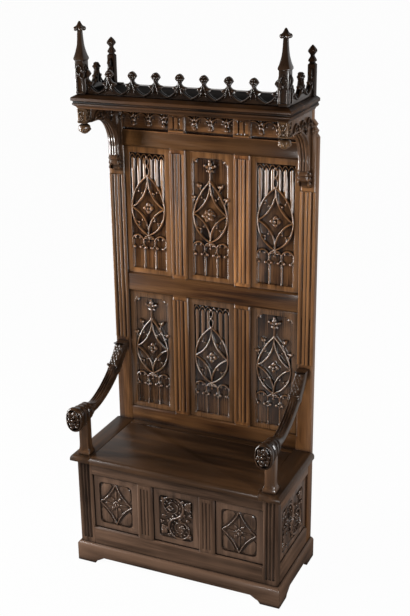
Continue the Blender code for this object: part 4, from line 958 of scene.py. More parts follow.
    def rosette(self, centre: Vector, reach: float, petals: int, height: float, turn: float = 0.0) -> None:
        """Add a flower of leaves round a ball.

        Args:
            centre: Its middle.
            reach: Its radius.
            petals: Number of large leaves, with small ones between them.
            height: Its height.
            turn: Turn of the first large leaf from straight up, in degrees.
        """
        for index in range(2 * petals):
            large = index % 2 == 0
            way = turned(spot(0.0, 1.0), math.radians(turn) + math.pi * index / petals)
            size = 1.0 if large else 0.74
            width = reach * (3.4 if large else 2.0) / petals
            self.leaf(centre + way * reach * 0.16, centre + way * reach * size, width,
                      height * (0.86 if large else 0.62))
        self.ball(centre, reach * 0.22, height * 0.72)


def named_active(name: str) -> Piece:
    """Name the active piece and its mesh, and give it back."""
    piece = bpy.context.object
    piece.name = piece.data.name = name
    return piece


def new_piece(name: str) -> Piece:
    """Add an empty mesh piece at the origin."""
    deselect_all()
    bpy.ops.object.add(type="MESH", location=(0.0, 0.0, 0.0))
    return named_active(name)


def copy_piece(piece: Piece, name: str, shift: Vector) -> Piece:
    """Copy a piece with its own mesh and move the copy.

    Args:
        piece: Piece to copy.
        name: Name of the copy.
        shift: How far it moves.

    Returns:
        The copy.
    """
    pick(piece)
    bpy.ops.object.duplicate(linked=False)
    bpy.ops.transform.translate(value=shift)
    bpy.ops.object.transform_apply(location=True, rotation=False, scale=False)
    return named_active(name)


def board_from_box(name: str, node: str) -> Piece:
    """Model a plain board in a node's box.

    Args:
        name: Name of the board.
        node: Node whose box it fills.

    Returns:
        The board.
    """
    low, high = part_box(node)
    deselect_all()
    bpy.ops.mesh.primitive_cube_add(size=1.0, location=(low + high) / 2)
    bpy.ops.transform.resize(value=high - low)
    bpy.ops.object.transform_apply(location=True, rotation=True, scale=True)
    return named_active(name)


def cut_away(board: Piece, tool: Piece) -> None:
    """Cut a tool's shape out of a board and take the tool away.

    Args:
        board: Piece to cut.
        tool: Piece with the shape to cut out.
    """
    pick(board)
    cut = board.modifiers.new("field", "BOOLEAN")
    cut.operation = "DIFFERENCE"
    cut.solver = "EXACT"
    cut.object = tool
    bpy.ops.object.modifier_apply(modifier=cut.name)
    bpy.data.objects.remove(tool)


def sink(board: Piece, side: Side, outline: Sequence[Vector], depth: float, slope: float) -> None:
    """Sink a field into a board, with walls that slope inward or stand straight.

    Args:
        board: Board to cut.
        side: Its face.
        outline: Corners of the field at the face.
        depth: Depth of the field.
        slope: Size of the field's floor as a share of its mouth, 1 for straight walls.
    """
    tool = new_piece("field_cutter")
    middle = sum(outline, spot(0.0, 0.0)) / len(outline)
    proud = 0.002
    with Carver(tool, side) as chisel:
        chisel.face([side.at(corner, proud) for corner in outline])
        # Straight walls have no ring in the board's face: the cut can fail where edges lie in that face.
        if slope < 1.0:
            chisel.extrude(side.out * -proud)
            chisel.extrude(side.out * -depth)
            chisel.scale(slope, side.at(middle, -depth))
        else:
            chisel.extrude(side.out * -(proud + depth))
    cut_away(board, tool)


def rounded_outline(half_width: float, low: float, high: float, foot: float, head: float) -> list[Vector]:
    """List the corners of an upright field with rounded corners.

    Args:
        half_width: Half its width.
        low: Its lower edge.
        high: Its upper edge.
        foot: Radius of the lower corners.
        head: Radius of the upper corners.

    Returns:
        The corners in order.
    """
    steps = 5
    right = []
    for radius, level, quarter in ((foot, low + foot, 3), (head, high - head, 0)):
        for step in range(steps + 1):
            angle = math.pi / 2 * (quarter + step / steps)
            across = half_width - radius + radius * math.cos(angle)
            right.append(spot(across, level + radius * math.sin(angle)))
    return right + [spot(-corner.x, corner.y) for corner in reversed(right)]


def cut_off(piece: Piece, point: Sequence[float], way: Sequence[float], keep_beyond: bool = False) -> None:
    """Cut a piece along a plane, keep one part of it and close the cut.

    Args:
        piece: Piece to cut.
        point: A point of the plane.
        way: Direction that the plane faces.
        keep_beyond: Whether the part that the plane faces stays, instead of the other.
    """
    with editing(piece):
        bpy.ops.mesh.bisect(plane_co=point, plane_no=way, use_fill=True, clear_inner=keep_beyond,
                            clear_outer=not keep_beyond)


def cut_at_roof(piece: Piece, keep_beyond: bool) -> None:
    """Cut a stile just over the roof and keep its upper or lower part."""
    cut_off(piece, (0.0, 0.0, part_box("canopy_board")[1].z + ROOF_GAP), (0, 0, 1), keep_beyond)


def carve_shaft(piece: Piece, axis: Vector, half: float, carve: Callable[[Carver], None]) -> None:
    """Carve the four faces of a square shaft alike.

    Args:
        piece: Piece to carve.
        axis: Point on the shaft's axis where the faces' heights are zero.
        half: Half the width of the shaft.
        carve: Method that carves one face.
    """
    for where in RIGHT_OF:
        with Carver(piece, facing(where, axis).raised(half)) as chisel:
            carve(chisel)


def finish_carving(piece: Piece) -> None:
    """Shade a carved piece, with its ridges kept sharp."""
    pick(piece)
    bpy.ops.object.shade_smooth_by_angle(angle=CARVED_ANGLE)


class Tracery(Enum):
    """The two patterns of the back's panels."""

    REEDED = "reeded"
    CROCKETED = "crocketed"


@dataclass
class TraceryBack:
    """The six tracery panels of the back.

    Attributes:
        margin: Plain border round each field, with what the grooves hide.
        sill: The same below each field.
        depth: Depth of the fields.
        rib: Section of the main ribs.
        foil: Section of the cusped inner ribs.
        arch: Section of the window's ribs.
        ease: Width of the eased edges.
    """

    margin: float = 0.030
    sill: float = 0.026
    depth: float = 0.0085
    rib: Rib = Rib(0.0115, 0.0120, 0.34)
    foil: Rib = Rib(0.0068, 0.0088, 0.36)
    arch: Rib = Rib(0.0085, 0.0098, 0.36)
    ease: float = 0.0005

    def build(self) -> None:
        """Model each pattern once and copy it to its places."""
        for style in Tracery:
            first = None
            for index, (node, kind) in enumerate(self.places()):
                if kind is not style:
                    continue
                name = node + "_tracery"
                if first is None:
                    first, home = self.model(name, node, style), node
                    piece = first
                else:
                    piece = copy_piece(first, name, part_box(node)[0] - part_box(home)[0])
                dress(piece, node, Grain.UPRIGHT, 0.1 * (index + 1))
            if style is Tracery.CROCKETED:
                self.boss(first, home)

    def boss(self, piece: Piece, node: str) -> None:
        """Raise a leafy boss over a panel's rosette.

        Args:
            piece: The panel.
            node: Node that it stands for.
        """
        low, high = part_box(node)
        level = low.z + self.sill + 0.535 * (high.z - low.z - self.margin - self.sill)
        proud = 0.026
        face = facing("front", ((low.x + high.x) / 2, low.y, level))
        with Carver(piece, face) as chisel:
            chisel.face([face.at(corner, -self.depth - SINK) for corner in circle(0.0180, 20)])
            for rise, size in ((0.011, 0.80), (0.013, 0.90), (0.0085, 1.24)):
                chisel.extrude(face.out * rise)
                chisel.scale(size, face.at(spot(0.0, 0.0), 0.0))
        with Carver(piece, face.raised(proud - self.depth)) as chisel:
            chisel.rosette(spot(0.0, 0.0), 0.0260, 5, 0.0130, 20.0)
        finish_carving(piece)

    @staticmethod
    def places() -> Iterable[tuple[str, Tracery]]:
        """List the panels' nodes with their patterns."""
        for tier in ("upper", "lower"):
            for place in ("left", "centre", "right"):
                reeded = (tier == "upper") != (place == "centre")
                yield f"back_panel_{tier}_{place}", Tracery.REEDED if reeded else Tracery.CROCKETED

    def model(self, name: str, node: str, style: Tracery) -> Piece:
        """Model one panel.

        Args:
            name: Name of the piece.
            node: Node that it stands for.
            style: Its pattern.

        Returns:
            The piece.
        """
        low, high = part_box(node)
        width, height = high.x - low.x - 2 * self.margin, high.z - low.z - self.margin - self.sill
        face = facing("front", ((low.x + high.x) / 2, low.y, low.z + self.sill))
        board = board_from_box(name, node)
        head = 0.024 if style is Tracery.CROCKETED else 0.003
        sink(board, face, rounded_outline(width / 2, 0.0, height, 0.003, head), self.depth, FIELD_SLOPE)
        soften(board, self.ease)
        with Carver(board, face.raised(-self.depth)) as chisel:
            leaves = self.lozenge(chisel, width, height, 0.018 if style is Tracery.REEDED else 0.011)
            self.window(chisel, width, height)
            if style is Tracery.REEDED:
                self.reeds(chisel, width, height, leaves)
            else:
                self.crockets(chisel, width, height, leaves)
        finish_carving(board)
        return board

    def lozenge(self, chisel: Carver, width: float, height: float, shoulder: float) -> list[Arc]:
        """Carve the four leaf-shaped lobes round the rosette.

        Args:
            chisel: Carver on the field's floor.
            width: Width of the field.
            height: Height of the field.
            shoulder: Bulge of the upper outer lines.

        Returns:
            The upper lobes' outer lines, left and right.
        """
        rise, flank = 0.021, width / 2 - 0.0045
        crown, foot, waist = spot(0.0, 0.81 * height), spot(0.0, 0.30 * height), 0.535 * height
        uppers = []
        for sign in (-1, 1):
            corner = spot(sign * flank, waist)
            for tip, outward in ((crown, sign), (foot, -sign)):
                outer = Arc(tip, corner, outward * (shoulder if tip is crown else rise))
                inner = Arc(tip, corner, -outward * rise)
                chisel.rib(outer, self.rib)
                chisel.rib(inner, self.rib)
                self.cusps(chisel, outer, inner.at(0.5), 0.34)
                self.cusps(chisel, inner, outer.at(0.5), 0.26)
                if tip is crown:
                    uppers.append(outer)
        middle = spot(0.0, waist)
        chisel.rosette(middle, 0.0245, 4, 0.0150)
        for tip in (crown, foot):
            chisel.ball(tip, 0.0066, 0.0080)
        for across, up, wide in ((0.0, -0.024, 0.013), (-0.017, -0.012, 0.011), (0.017, -0.012, 0.011)):
            end = foot + spot(across, up)
            chisel.leaf(foot, end, wide, 0.0120)
            chisel.ball(end, 0.0044, 0.0084)
        return uppers

    def cusps(self, chisel: Carver, line: Arc, across: Vector, reach: float) -> None:
        """Carve a cusp with a ball tip that grows from a line.

        Args:
            chisel: Carver on the field's floor.
            line: Line that it grows from.
            across: Place that it points to.
            reach: How far it goes there, as a share.
        """
        tip = line.at(0.5).lerp(across, reach)
        for share in (0.24, 0.76):
            chisel.rib(bow(line.at(share), tip, line.at(0.5), 0.22), self.foil)
        chisel.ball(tip, 0.0042, 0.0074)

    def window(self, chisel: Carver, width: float, height: float) -> None:
        """Carve the three cusped lights below the lozenge.

        Args:
            chisel: Carver on the field's floor.
            width: Width of the field.
            height: Height of the field.
        """
        light, spring = width / 3, 0.243 * height
        crown, cusp = spring + light / 2, 0.192 * height
        for index in range(4):
            across = (index - 1.5) * light
            across -= math.copysign(0.0025, across) if index in (0, 3) else 0.0
            chisel.rib(Arc(spot(across, 0.001), spot(across, spring + 0.004)), Rib(0.0075, 0.0064, 0.40))
        for index in range(3):
            middle = (index - 1) * light
            for sign in (-1, 1):
                edge = middle + sign * light / 2
                haunch = Arc(spot(edge, spring), spot(middle, crown), -sign * 0.147 * light)
                chisel.rib(haunch, self.arch)
                tip = spot(middle + sign * (light / 2 - 0.0118), cusp)
                chisel.rib(bow(tip, haunch.at(0.30), haunch.at(0.0), 0.22), self.foil)
                chisel.rib(bow(tip, spot(edge, cusp - 0.016), haunch.at(0.0), 0.20), self.foil)
                chisel.ball(tip, 0.0056, 0.0092)
                upper = haunch.at(0.58).lerp(spot(middle, spring), 0.36)
                chisel.rib(bow(upper, haunch.at(0.95), haunch.at(0.8), 0.22), self.foil)
                chisel.rib(bow(upper, haunch.at(0.34), haunch.at(0.4), 0.22), self.foil)
                chisel.ball(upper, 0.0036, 0.0074)

    def reeds(self, chisel: Carver, width: float, height: float, leaves: Sequence[Arc]) -> None:
        """Carve upright reeds with arched heads above the lozenge, and its slim looped finial.

        Args:
            chisel: Carver on the field's floor.
            width: Width of the field.
            height: Height of the field.
            leaves: The upper lobes' outer lines.
        """
        count, hood, proud = 6, Rib(0.0056, 0.0100, 0.36), 0.0088
        pitch = width / count
        section = ((0.37, -SINK / proud), (0.37, 0.20), (0.31, 0.58), (0.22, 0.84), (0.11, 0.96), (0.0, 1.0))
        ring = [*section, *[(-a, b) for a, b in reversed(section[:-1])]]
        for index in range(count):
            middle = (index + 0.5) * pitch - width / 2
            foot, head = [], []
            for across, rise in ring:
                place = middle + across * pitch
                circle = leaves[0 if place < 0 else 1]
                radius = (circle.start - circle.centre).length
                reach = max(radius ** 2 - (place - circle.centre.x) ** 2, 0.0)
                start = circle.centre.y + math.sqrt(reach) - 0.001
                end = height - 0.016 - 1.3 * abs(across) * pitch
                foot.append(chisel.side.at(spot(place, start), rise * proud))
                head.append(chisel.side.at(spot(place, end), rise * proud))
            chisel.face(foot)
            chisel.draw_to(foot, head)
            for sign in (-1, 1):
                heel = spot(middle + sign * pitch / 2, height - 0.026)
                chisel.rib(Arc(heel, spot(middle, height - 0.004), -sign * 0.0035), hood)
        for low, high, reach in ((0.805, 0.895, 0.0085), (0.895, 0.968, 0.0070)):
            for sign in (-1, 1):
                loop = Arc(spot(0.0, low * height), spot(0.0, high * height), sign * reach)
                chisel.rib(loop, self.foil, 0.0040)
            chisel.ball(spot(0.0, high * height), 0.0050, 0.0110)

    def crockets(self, chisel: Carver, width: float, height: float, leaves: Sequence[Arc]) -> None:
        """Carve the stem with its cross-shaped finial, the crockets and the field's rolled edge.

        Args:
            chisel: Carver on the field's floor.
            width: Width of the field.
            height: Height of the field.
            leaves: The upper lobes' outer lines.
        """
        stem = Rib(0.0090, 0.0120, 0.36)
        chisel.rib(Arc(spot(0.0, 0.80 * height), spot(0.0, 0.935 * height)), stem)
        chisel.ball(spot(0.0, 0.895 * height), 0.0074, 0.0090)
        heart = spot(0.0, 0.922 * height)
        chisel.leaf(heart, heart + spot(0.0, 0.028), 0.018, 0.0135)
        for sign in (-1, 1):
            chisel.leaf(heart, heart + spot(sign * 0.023, 0.007), 0.015, 0.0125)
            chisel.leaf(heart - spot(0.0, 0.004), heart + spot(sign * 0.016, -0.017), 0.012, 0.0105)
            chisel.ball(heart + spot(sign * 0.022, 0.008), 0.0052, 0.0092)
        chisel.ball(heart + spot(0.0, 0.026), 0.0054, 0.0100)
        for line, sign in zip(leaves, (-1, 1)):
            for share in (0.34, 0.68):
                root, way = line.at(share), line.left_of(share) * sign
                lift = way + spot(0.0, 0.75)
                chisel.rib(bow(root, root + lift * 0.010, root + way, 0.16), self.foil, 0.0020)
                bud = root + lift * 0.008
                chisel.leaf(bud, bud + (lift + way * 0.5) * 0.013, 0.015, 0.0130)
                chisel.leaf(bud, bud + spot(sign * 0.004, 0.018), 0.013, 0.0120)
                chisel.ball(bud + spot(-sign * 0.003, 0.011), 0.0042, 0.0092)
        edge, corner = width / 2 - 0.0022, 0.024
        slim, roll = Rib(0.0066, 0.0068, 0.50, 0.7), Rib(0.0092, 0.0092, 0.50, 0.7)
        for sign in (-1, 1):
            shoulder = spot(sign * edge, height - corner)
            chisel.rib(Arc(spot(sign * edge, 0.30 * height), shoulder), slim)
            end = spot(sign * (edge - corner + 0.002), height - 0.0022)
            chisel.rib(Arc(shoulder, end, -sign * 0.0068), roll)
            chisel.leaf(spot(sign * (edge - 0.004), height - 0.005),
                        spot(sign * (edge - 0.018), height - 0.019), 0.014, 0.0088)


@dataclass
class ChestPanels:
    """The chest's five panels: diamonds beside foliage on the front, and foliage on the sides.

    Attributes:
        margin: Plain border round each front field, with what the grooves hide.
        side_margin: The same beside each side field.
        depth: Depth of the fields.
        groove: Depth of the grooves that hide a panel's edge.
        quirk: Width of the channel along a panel's foot and left edge.
        corner: Radius of the fields' corners.
        ease: Width of the eased edges.
        rib: Section of the diamond's ribs.
        stem: Section of the scrolls at their thick end.
    """

    margin: float = 0.032
    side_margin: float = 0.047
    depth: float = 0.0065
    groove: float = 0.007
    quirk: float = 0.0045
    corner: float = 0.016
    ease: float = 0.0012
    rib: Rib = Rib(0.0072, 0.0068, 0.38)
    stem: Rib = Rib(0.0120, 0.0095, 0.42, 0.70)

    def build(self) -> None:
        """Model every panel of the chest."""
        left, right = "chest_front_panel_left", "chest_front_panel_right"
        first = self.model(left + "_diamond", left, "front", self.margin, self.diamond)
        other = copy_piece(first, right + "_diamond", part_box(right)[0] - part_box(left)[0])
        dress(first, left, Grain.UPRIGHT, 0.2)
        dress(other, right, Grain.UPRIGHT, 0.5)
        middle = "chest_front_panel_centre"
        piece = self.model(middle + "_foliage", middle, "front", self.margin, self.foliage)
        dress(piece, middle, Grain.UPRIGHT, 0.3)
        for hand in ("left", "right"):
            node = "chest_side_panel_" + hand
            piece = self.model(node + "_foliage", node, hand, self.side_margin, self.foliage)
            dress(piece, node, Grain.UPRIGHT, 0.4)

    def model(self, name: str, node: str, where: str, margin: float,
              carve: Callable[[Carver, float, float], None]) -> Piece:
        """Model one panel with its sunk field and its carving.

        Args:
            name: Name of the piece.
            node: Node that it stands for.
            where: Way that it faces.
            margin: Border beside the field.
            carve: Method that carves the field.

        Returns:
            The piece.
        """
        low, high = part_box(node)
        height = high.z - low.z - 2 * self.margin
        middle = (low + high) / 2
        reach = {"front": (middle.x, low.y), "left": (low.x, middle.y),
                 "right": (high.x, middle.y)}[where]
        width = (high.x - low.x if where == "front" else high.y - low.y) - 2 * margin
        face = facing(where, (*reach, low.z + self.margin))
        board = board_from_box(name, node)
        field = rounded_outline(width / 2, 0.0, height, self.corner, self.corner)
        sink(board, face, field, self.depth, FIELD_SLOPE)
        sink(board, face, self.channel(width / 2 + margin - self.groove, height), 0.75 * self.depth, 1.0)
        soften(board, self.ease)
        with Carver(board, face.raised(-self.depth)) as chisel:
            carve(chisel, width, height)
        finish_carving(board)
        return board

    def channel(self, edge: float, height: float) -> list[Vector]:
        """List the corners of the channel along a panel's foot and left edge.

        Args:
            edge: Distance of the panel's visible edge from its middle.
            height: Height of the field.

        Returns:
            The corners, with the outer ones inside the frame's grooves.
        """
        foot, head = self.groove - self.margin, height + self.margin - self.groove
        near, sill = self.quirk - edge, foot + self.quirk
        past = spot(-edge - self.quirk / 2, foot - self.quirk / 2)
        return [past, spot(edge, past.y), spot(edge, sill), spot(near, sill), spot(near, head),
                spot(past.x, head)]

    def diamond(self, chisel: Carver, width: float, height: float) -> None:
        """Carve a hollow-sided diamond round a leafy rosette, with a lobe in each corner.

        Args:
            chisel: Carver on the field's floor.
            width: Width of the field.
            height: Height of the field.
        """
        centre = spot(0.0, height / 2)
        for across in (-1, 1):
            for up in (-1, 1):
                side = spot(across * (width / 2 - 0.003), height / 2)
                end = spot(0.0, height / 2 + up * (height / 2 - 0.003))
                line = bow(side, end, centre, 0.075)
                chisel.rib(line, self.rib)
                corner = spot(across * (width / 2 - 0.004), height / 2 + up * (height / 2 - 0.004))
                lobe = [line.at(step / 8).lerp(corner, 0.15) for step in range(1, 8)]
                lobe += [end.lerp(corner, 0.35), end.lerp(corner, 0.72), corner.lerp(centre, 0.09),
                         side.lerp(corner, 0.72), side.lerp(corner, 0.35)]
                chisel.mound(lobe, corner.lerp(line.at(0.5), 0.45), 0.0058)
                root, tip = (centre.lerp(line.at(0.5), share) for share in (0.30, 0.84))
                chisel.leaf(root, tip, 0.013, 0.0052, 1)
        chisel.rosette(centre, 0.017, 4, 0.0066)
        for across, up in ((0, 1), (0, -1), (1, 0), (-1, 0)):
            way, reach = spot(across, up), (width if across else height) / 2
            chisel.leaf(centre + way * 0.014, centre + way * (reach - 0.016), 0.010, 0.0052, 2)

    def foliage(self, chisel: Carver, width: float, height: float) -> None:
        """Carve two scrolls that wind from one stem, with leaves and berries in the corners.

        Args:
            chisel: Carver on the field's floor.
            width: Width of the field.
            height: Height of the field.
        """
        centre = spot(0.0, height / 2)
        eye = spot(-0.014, 0.043) if width < height else spot(-0.047, 0.030)
        radius = eye.length
        away = turned(eye.normalized(), -math.pi / 2)
        for sign in (-1, 1):
            bends = ((radius, 195.0), (0.78 * radius, 150.0), (0.55 * radius, 150.0), (0.34 * radius, 160.0))
            tip = chisel.tendril(centre, away * sign, bends, self.stem, 0.970)
            chisel.rosette(tip, 0.34 * radius, 4, 0.0090)
            for turn in range(-160, 161, 32):
                way = turned(eye.normalized(), math.radians(turn)) * sign
                root = centre + eye * sign + way * radius * 1.06
                tip = root + turned(way, -0.9) * 0.020
                if abs(tip.x) < width / 2 - 0.004 and abs(tip.y - height / 2) < height / 2 - 0.004:
                    chisel.leaf(root, tip, 0.012, 0.0076, 1)
                inner = centre + eye * sign + way * radius * 0.80
                chisel.leaf(inner, inner - turned(way, 0.8) * 0.011, 0.007, 0.0064)
            corner = centre + spot(sign * (width / 2 - 0.007), sign * (height / 2 - 0.007))
            root = corner - spot(sign * 0.022, sign * 0.036)
            for across, up, wide in ((0.0, 0.0, 0.022), (-0.020, -0.003, 0.016), (0.002, -0.026, 0.017),
                                     (0.001, -0.044, 0.014)):
                chisel.leaf(root, corner + spot(sign * across, sign * up), wide, 0.0085, 2)
            for across, up in ((-0.004, -0.056), (-0.010, -0.062), (-0.002, -0.064), (-0.034, -0.006),
                               (-0.041, -0.011)):
                chisel.ball(corner + spot(sign * across, sign * up), 0.0042, 0.0052)
            other = centre + spot(-sign * (width / 2 - 0.007), sign * (height / 2 - 0.007))
            root = other + spot(sign * 0.018, -sign * 0.020)
            for across, up, wide in ((0.0, 0.0, 0.016), (0.016, 0.001, 0.012), (-0.001, -0.020, 0.012)):
                chisel.leaf(root, other + spot(sign * across, sign * up), wide, 0.0075, 1)


@dataclass
class HeadFrieze:
    """The carved frieze of arches and drops under the canopy, with fluted blocks over the muntins.

    Attributes:
        node: Node of the board that it is carved from.
        crown: Height of the arches' crowns over the board's lower edge.
        spring: Height of their springing.
        tip: Height of the drops' tips.
        rib: Section of the arches.
        depth: Depth of the sunk bays.
        ease: Width of the eased edges.
        drift: How far each bay's arches stand to the right of its middle.
    """

    node: str = "back_head_board"
    crown: float = 0.066
    spring: float = 0.040
    tip: float = 0.0215
    rib: Rib = Rib(0.0078, 0.0090, 0.36)
    depth: float = 0.0070
    ease: float = 0.0010
    drift: tuple[float, float, float] = (0.016, 0.008, 0.010)

    def build(self) -> None:
        """Carve the board."""
        low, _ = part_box(self.node)
        panel_low, panel_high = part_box("back_panel_upper_centre")
        bay = panel_high.x - panel_low.x - 0.014
        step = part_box("back_panel_upper_right")[0].x - panel_low.x
        board = copy_node(self.node, "back_head_board_frieze")
        face = facing("front", (0.0, low.y, low.z))
        field = rounded_outline(bay / 2, 0.004, 0.110, 0.002, 0.002)
        quirk = rounded_outline(bay / 2 - 0.0005, 0.0045, 0.0125, 0.002, 0.002)
        for index in (-1, 0, 1):
            for outline, depth in ((field, self.depth), (quirk, 2 * self.depth)):
                moved = [corner + spot(index * step, 0.0) for corner in outline]
                sink(board, face, moved, depth, FIELD_SLOPE)
        soften(board, self.ease)
        with Carver(board, face.raised(-self.depth)) as chisel:
            for index, drift in zip((-1, 0, 1), self.drift):
                self.bay(chisel, index * step + drift, bay / 3)
        with Carver(board, face) as chisel:
            for sign in (-1, 1):
                self.block(chisel, sign * step / 2)
        finish_carving(board)
        dress(board, self.node, Grain.ACROSS, 0.6)

    def bay(self, chisel: Carver, middle: float, pitch: float) -> None:
        """Carve one bay: arches, drops and leaves in the spandrels.

        Args:
            chisel: Carver on the bay's floor.
            middle: Where the second of the three drops hangs.
            pitch: Distance between the drops.
        """
        thin, deep = Rib(0.0052, 0.0062, 0.36), Rib(0.0052, 0.0125, 0.36)
        for index in range(-1, 3):
            across = middle + (index - 1) * pitch
            heart = spot(across, self.spring + 0.004)
            for sign in (1,) if index < 0 else (-1, 1):
                crown = spot(across + sign * pitch / 2, self.crown + 0.002)
                haunch = Arc(spot(across + sign * 0.005, self.spring - 0.002), crown, sign * 0.0085)
                chisel.rib(haunch, self.rib)
                end = spot(across + sign * pitch * 0.46, self.crown + 0.022)
                chisel.rib(Arc(heart + spot(sign * 0.003, 0.004), end, sign * 0.0060), thin)
                chisel.leaf(heart + spot(sign * 0.002, 0.006), heart + spot(sign * 0.016, 0.021), 0.011,
                            0.0105, 1)
                cusp = haunch.at(0.55) + spot(sign * 0.004, -0.012)
                for share in (0.22, 0.86):
                    chisel.rib(bow(haunch.at(share), cusp, haunch.at(0.5), 0.2), deep, -0.0085)
                chisel.ball(cusp, 0.0040, 0.0028)
            if index < 0:
                continue
            chisel.leaf(heart + spot(0.0, 0.006), heart + spot(0.0, 0.028), 0.011, 0.0115)
            chisel.ball(heart, 0.0058, 0.0075)
            chisel.drop(heart - spot(0.0, 0.001), self.spring - self.tip + 0.006, 0.0155, 0.0135)

    @staticmethod
    def block(chisel: Carver, middle: float) -> None:
        """Carve the round reeds between a block's flutes, and its foot.

        Args:
            chisel: Carver on the board's face.
            middle: Place of the block across.
        """
        reed, foot = Rib(0.0130, 0.0024, 0.72, 0.85), Rib(0.0090, 0.0065, 0.5, 0.8)
        for sign in (-1, 0, 1):
            across = middle + sign * 0.021
            chisel.rib(Arc(spot(across, 0.020), spot(across, 0.062)), reed)
        chisel.rib(Arc(spot(middle - 0.031, 0.010), spot(middle + 0.031, 0.010)), foot)


@dataclass
class Brackets:
    """The two side brackets under the canopy.

    Attributes:
        rib: Section of the arch's edge.
        thin: Section of the small arches above it.
    """

    rib: Rib = Rib(0.0085, 0.0055, 0.40, 0.7)
    thin: Rib = Rib(0.0062, 0.0066, 0.36)

    def build(self) -> None:
        """Carve both faces and the soffit of each bracket."""
        kind = "canopy_bracket"
        low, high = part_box(kind + "_right")
        piece = copy_node(kind + "_right", kind + "_right_carved")
        soften(piece, 0.0016)
        for where, across in (("left", low.x), ("right", high.x)):
            way = 1 if where == "right" else -1
            with Carver(piece, facing(where, (across, 0.0, 0.0))) as chisel:
                self.face(chisel, way, low, high)
        with Carver(piece, facing("right", ((low.x + high.x) / 2, 0.0, 0.0))) as chisel:
            self.soffit(chisel, high)
        finish_carving(piece)
        dress_pair(piece, kind, Grain.UPRIGHT, 0.3)

    @staticmethod
    def arch(way: int, high: Vector, inset: float) -> Arc:
        """Give the line of the bracket's arch.

        Args:
            way: Sign of the side's right along the depth.
            high: Highest corner of the bracket.
            inset: Distance into the wood.

        Returns:
            The line, from the crown to the leg.
        """
        crown = spot(way * (high.y - 0.153 + inset * 0.3), high.z - 0.085 + inset)
        leg = spot(way * (high.y - 0.036 + inset), high.z - 0.205)
        return Arc(crown, leg, way * 0.0347)

    def face(self, chisel: Carver, way: int, low: Vector, high: Vector) -> None:
        """Carve one flat face: an edge roll, and small arches with drops above the opening.

        Args:
            chisel: Carver on the face.
            way: Sign of the face's right along the depth.
            low: Lowest corner of the bracket.
            high: Highest corner of the bracket.
        """
        line = self.arch(way, high, 0.0065)
        chisel.rib(line, self.rib)
        chisel.rib(Arc(line.end, spot(line.end.x, high.z - 0.238)), self.rib)
        chisel.rib(Arc(spot(way * (low.y + 0.002), line.start.y), line.start), self.rib)
        pitch = 0.065
        for index, (rise, length) in enumerate(((0.090, 0.026), (0.086, 0.024), (0.082, 0.016))):
            middle = high.y - 0.006 - pitch * (index + 0.5)
            crown, spring = high.z - 0.050, high.z - rise
            for sign in (-1, 1):
                foot = spot(way * (middle + sign * (pitch / 2 - 0.004)), spring)
                haunch = Arc(foot, spot(way * middle, crown), -sign * way * 0.0095)
                chisel.rib(haunch, self.thin)
                chisel.leaf(foot + spot(0.0, 0.005), foot + spot(-way * sign * 0.013, 0.021), 0.011,
                            0.0085, 1)
            hook = spot(way * (middle + pitch / 2), spring + 0.006)
            chisel.drop(hook, length, 0.014, 0.0105)
            chisel.ball(hook, 0.0056, 0.0060)
            chisel.ball(spot(way * middle, (crown + spring) / 2), 0.0040, 0.0030)
        toe = high.y - 0.030
        for rise in (0.006, 0.024, 0.042):
            level = low.z + rise + 0.006
            fold = Arc(spot(way * (toe + 0.028), level), spot(way * (toe - 0.004), low.z + rise + 0.014))
            chisel.rib(fold, Rib(0.0110, 0.0060, 0.5, 0.75))
            chisel.leaf(spot(way * (toe + 0.012), level), spot(way * toe, low.z + rise + 0.024), 0.012,
                        0.0085, 1)

    def soffit(self, chisel: Carver, high: Vector) -> None:
        """Carve the reeds that run down the bracket's curved edge.

        Args:
            chisel: Carver on the bracket's middle plane.
            high: Highest corner of the bracket.
        """
        line = self.arch(1, high, 0.0)
        leg = Arc(line.end, spot(line.end.x, high.z - 0.240))
        angles = [math.pi * step / 4 for step in range(8)]
        reed = [(0.0034 * math.cos(angle), 0.0042 * math.sin(angle)) for angle in angles]
        for height in (-0.0105, 0.0, 0.0105):
            for path in (line, leg):
                chisel.sweep(path, reed, height, steps=14)


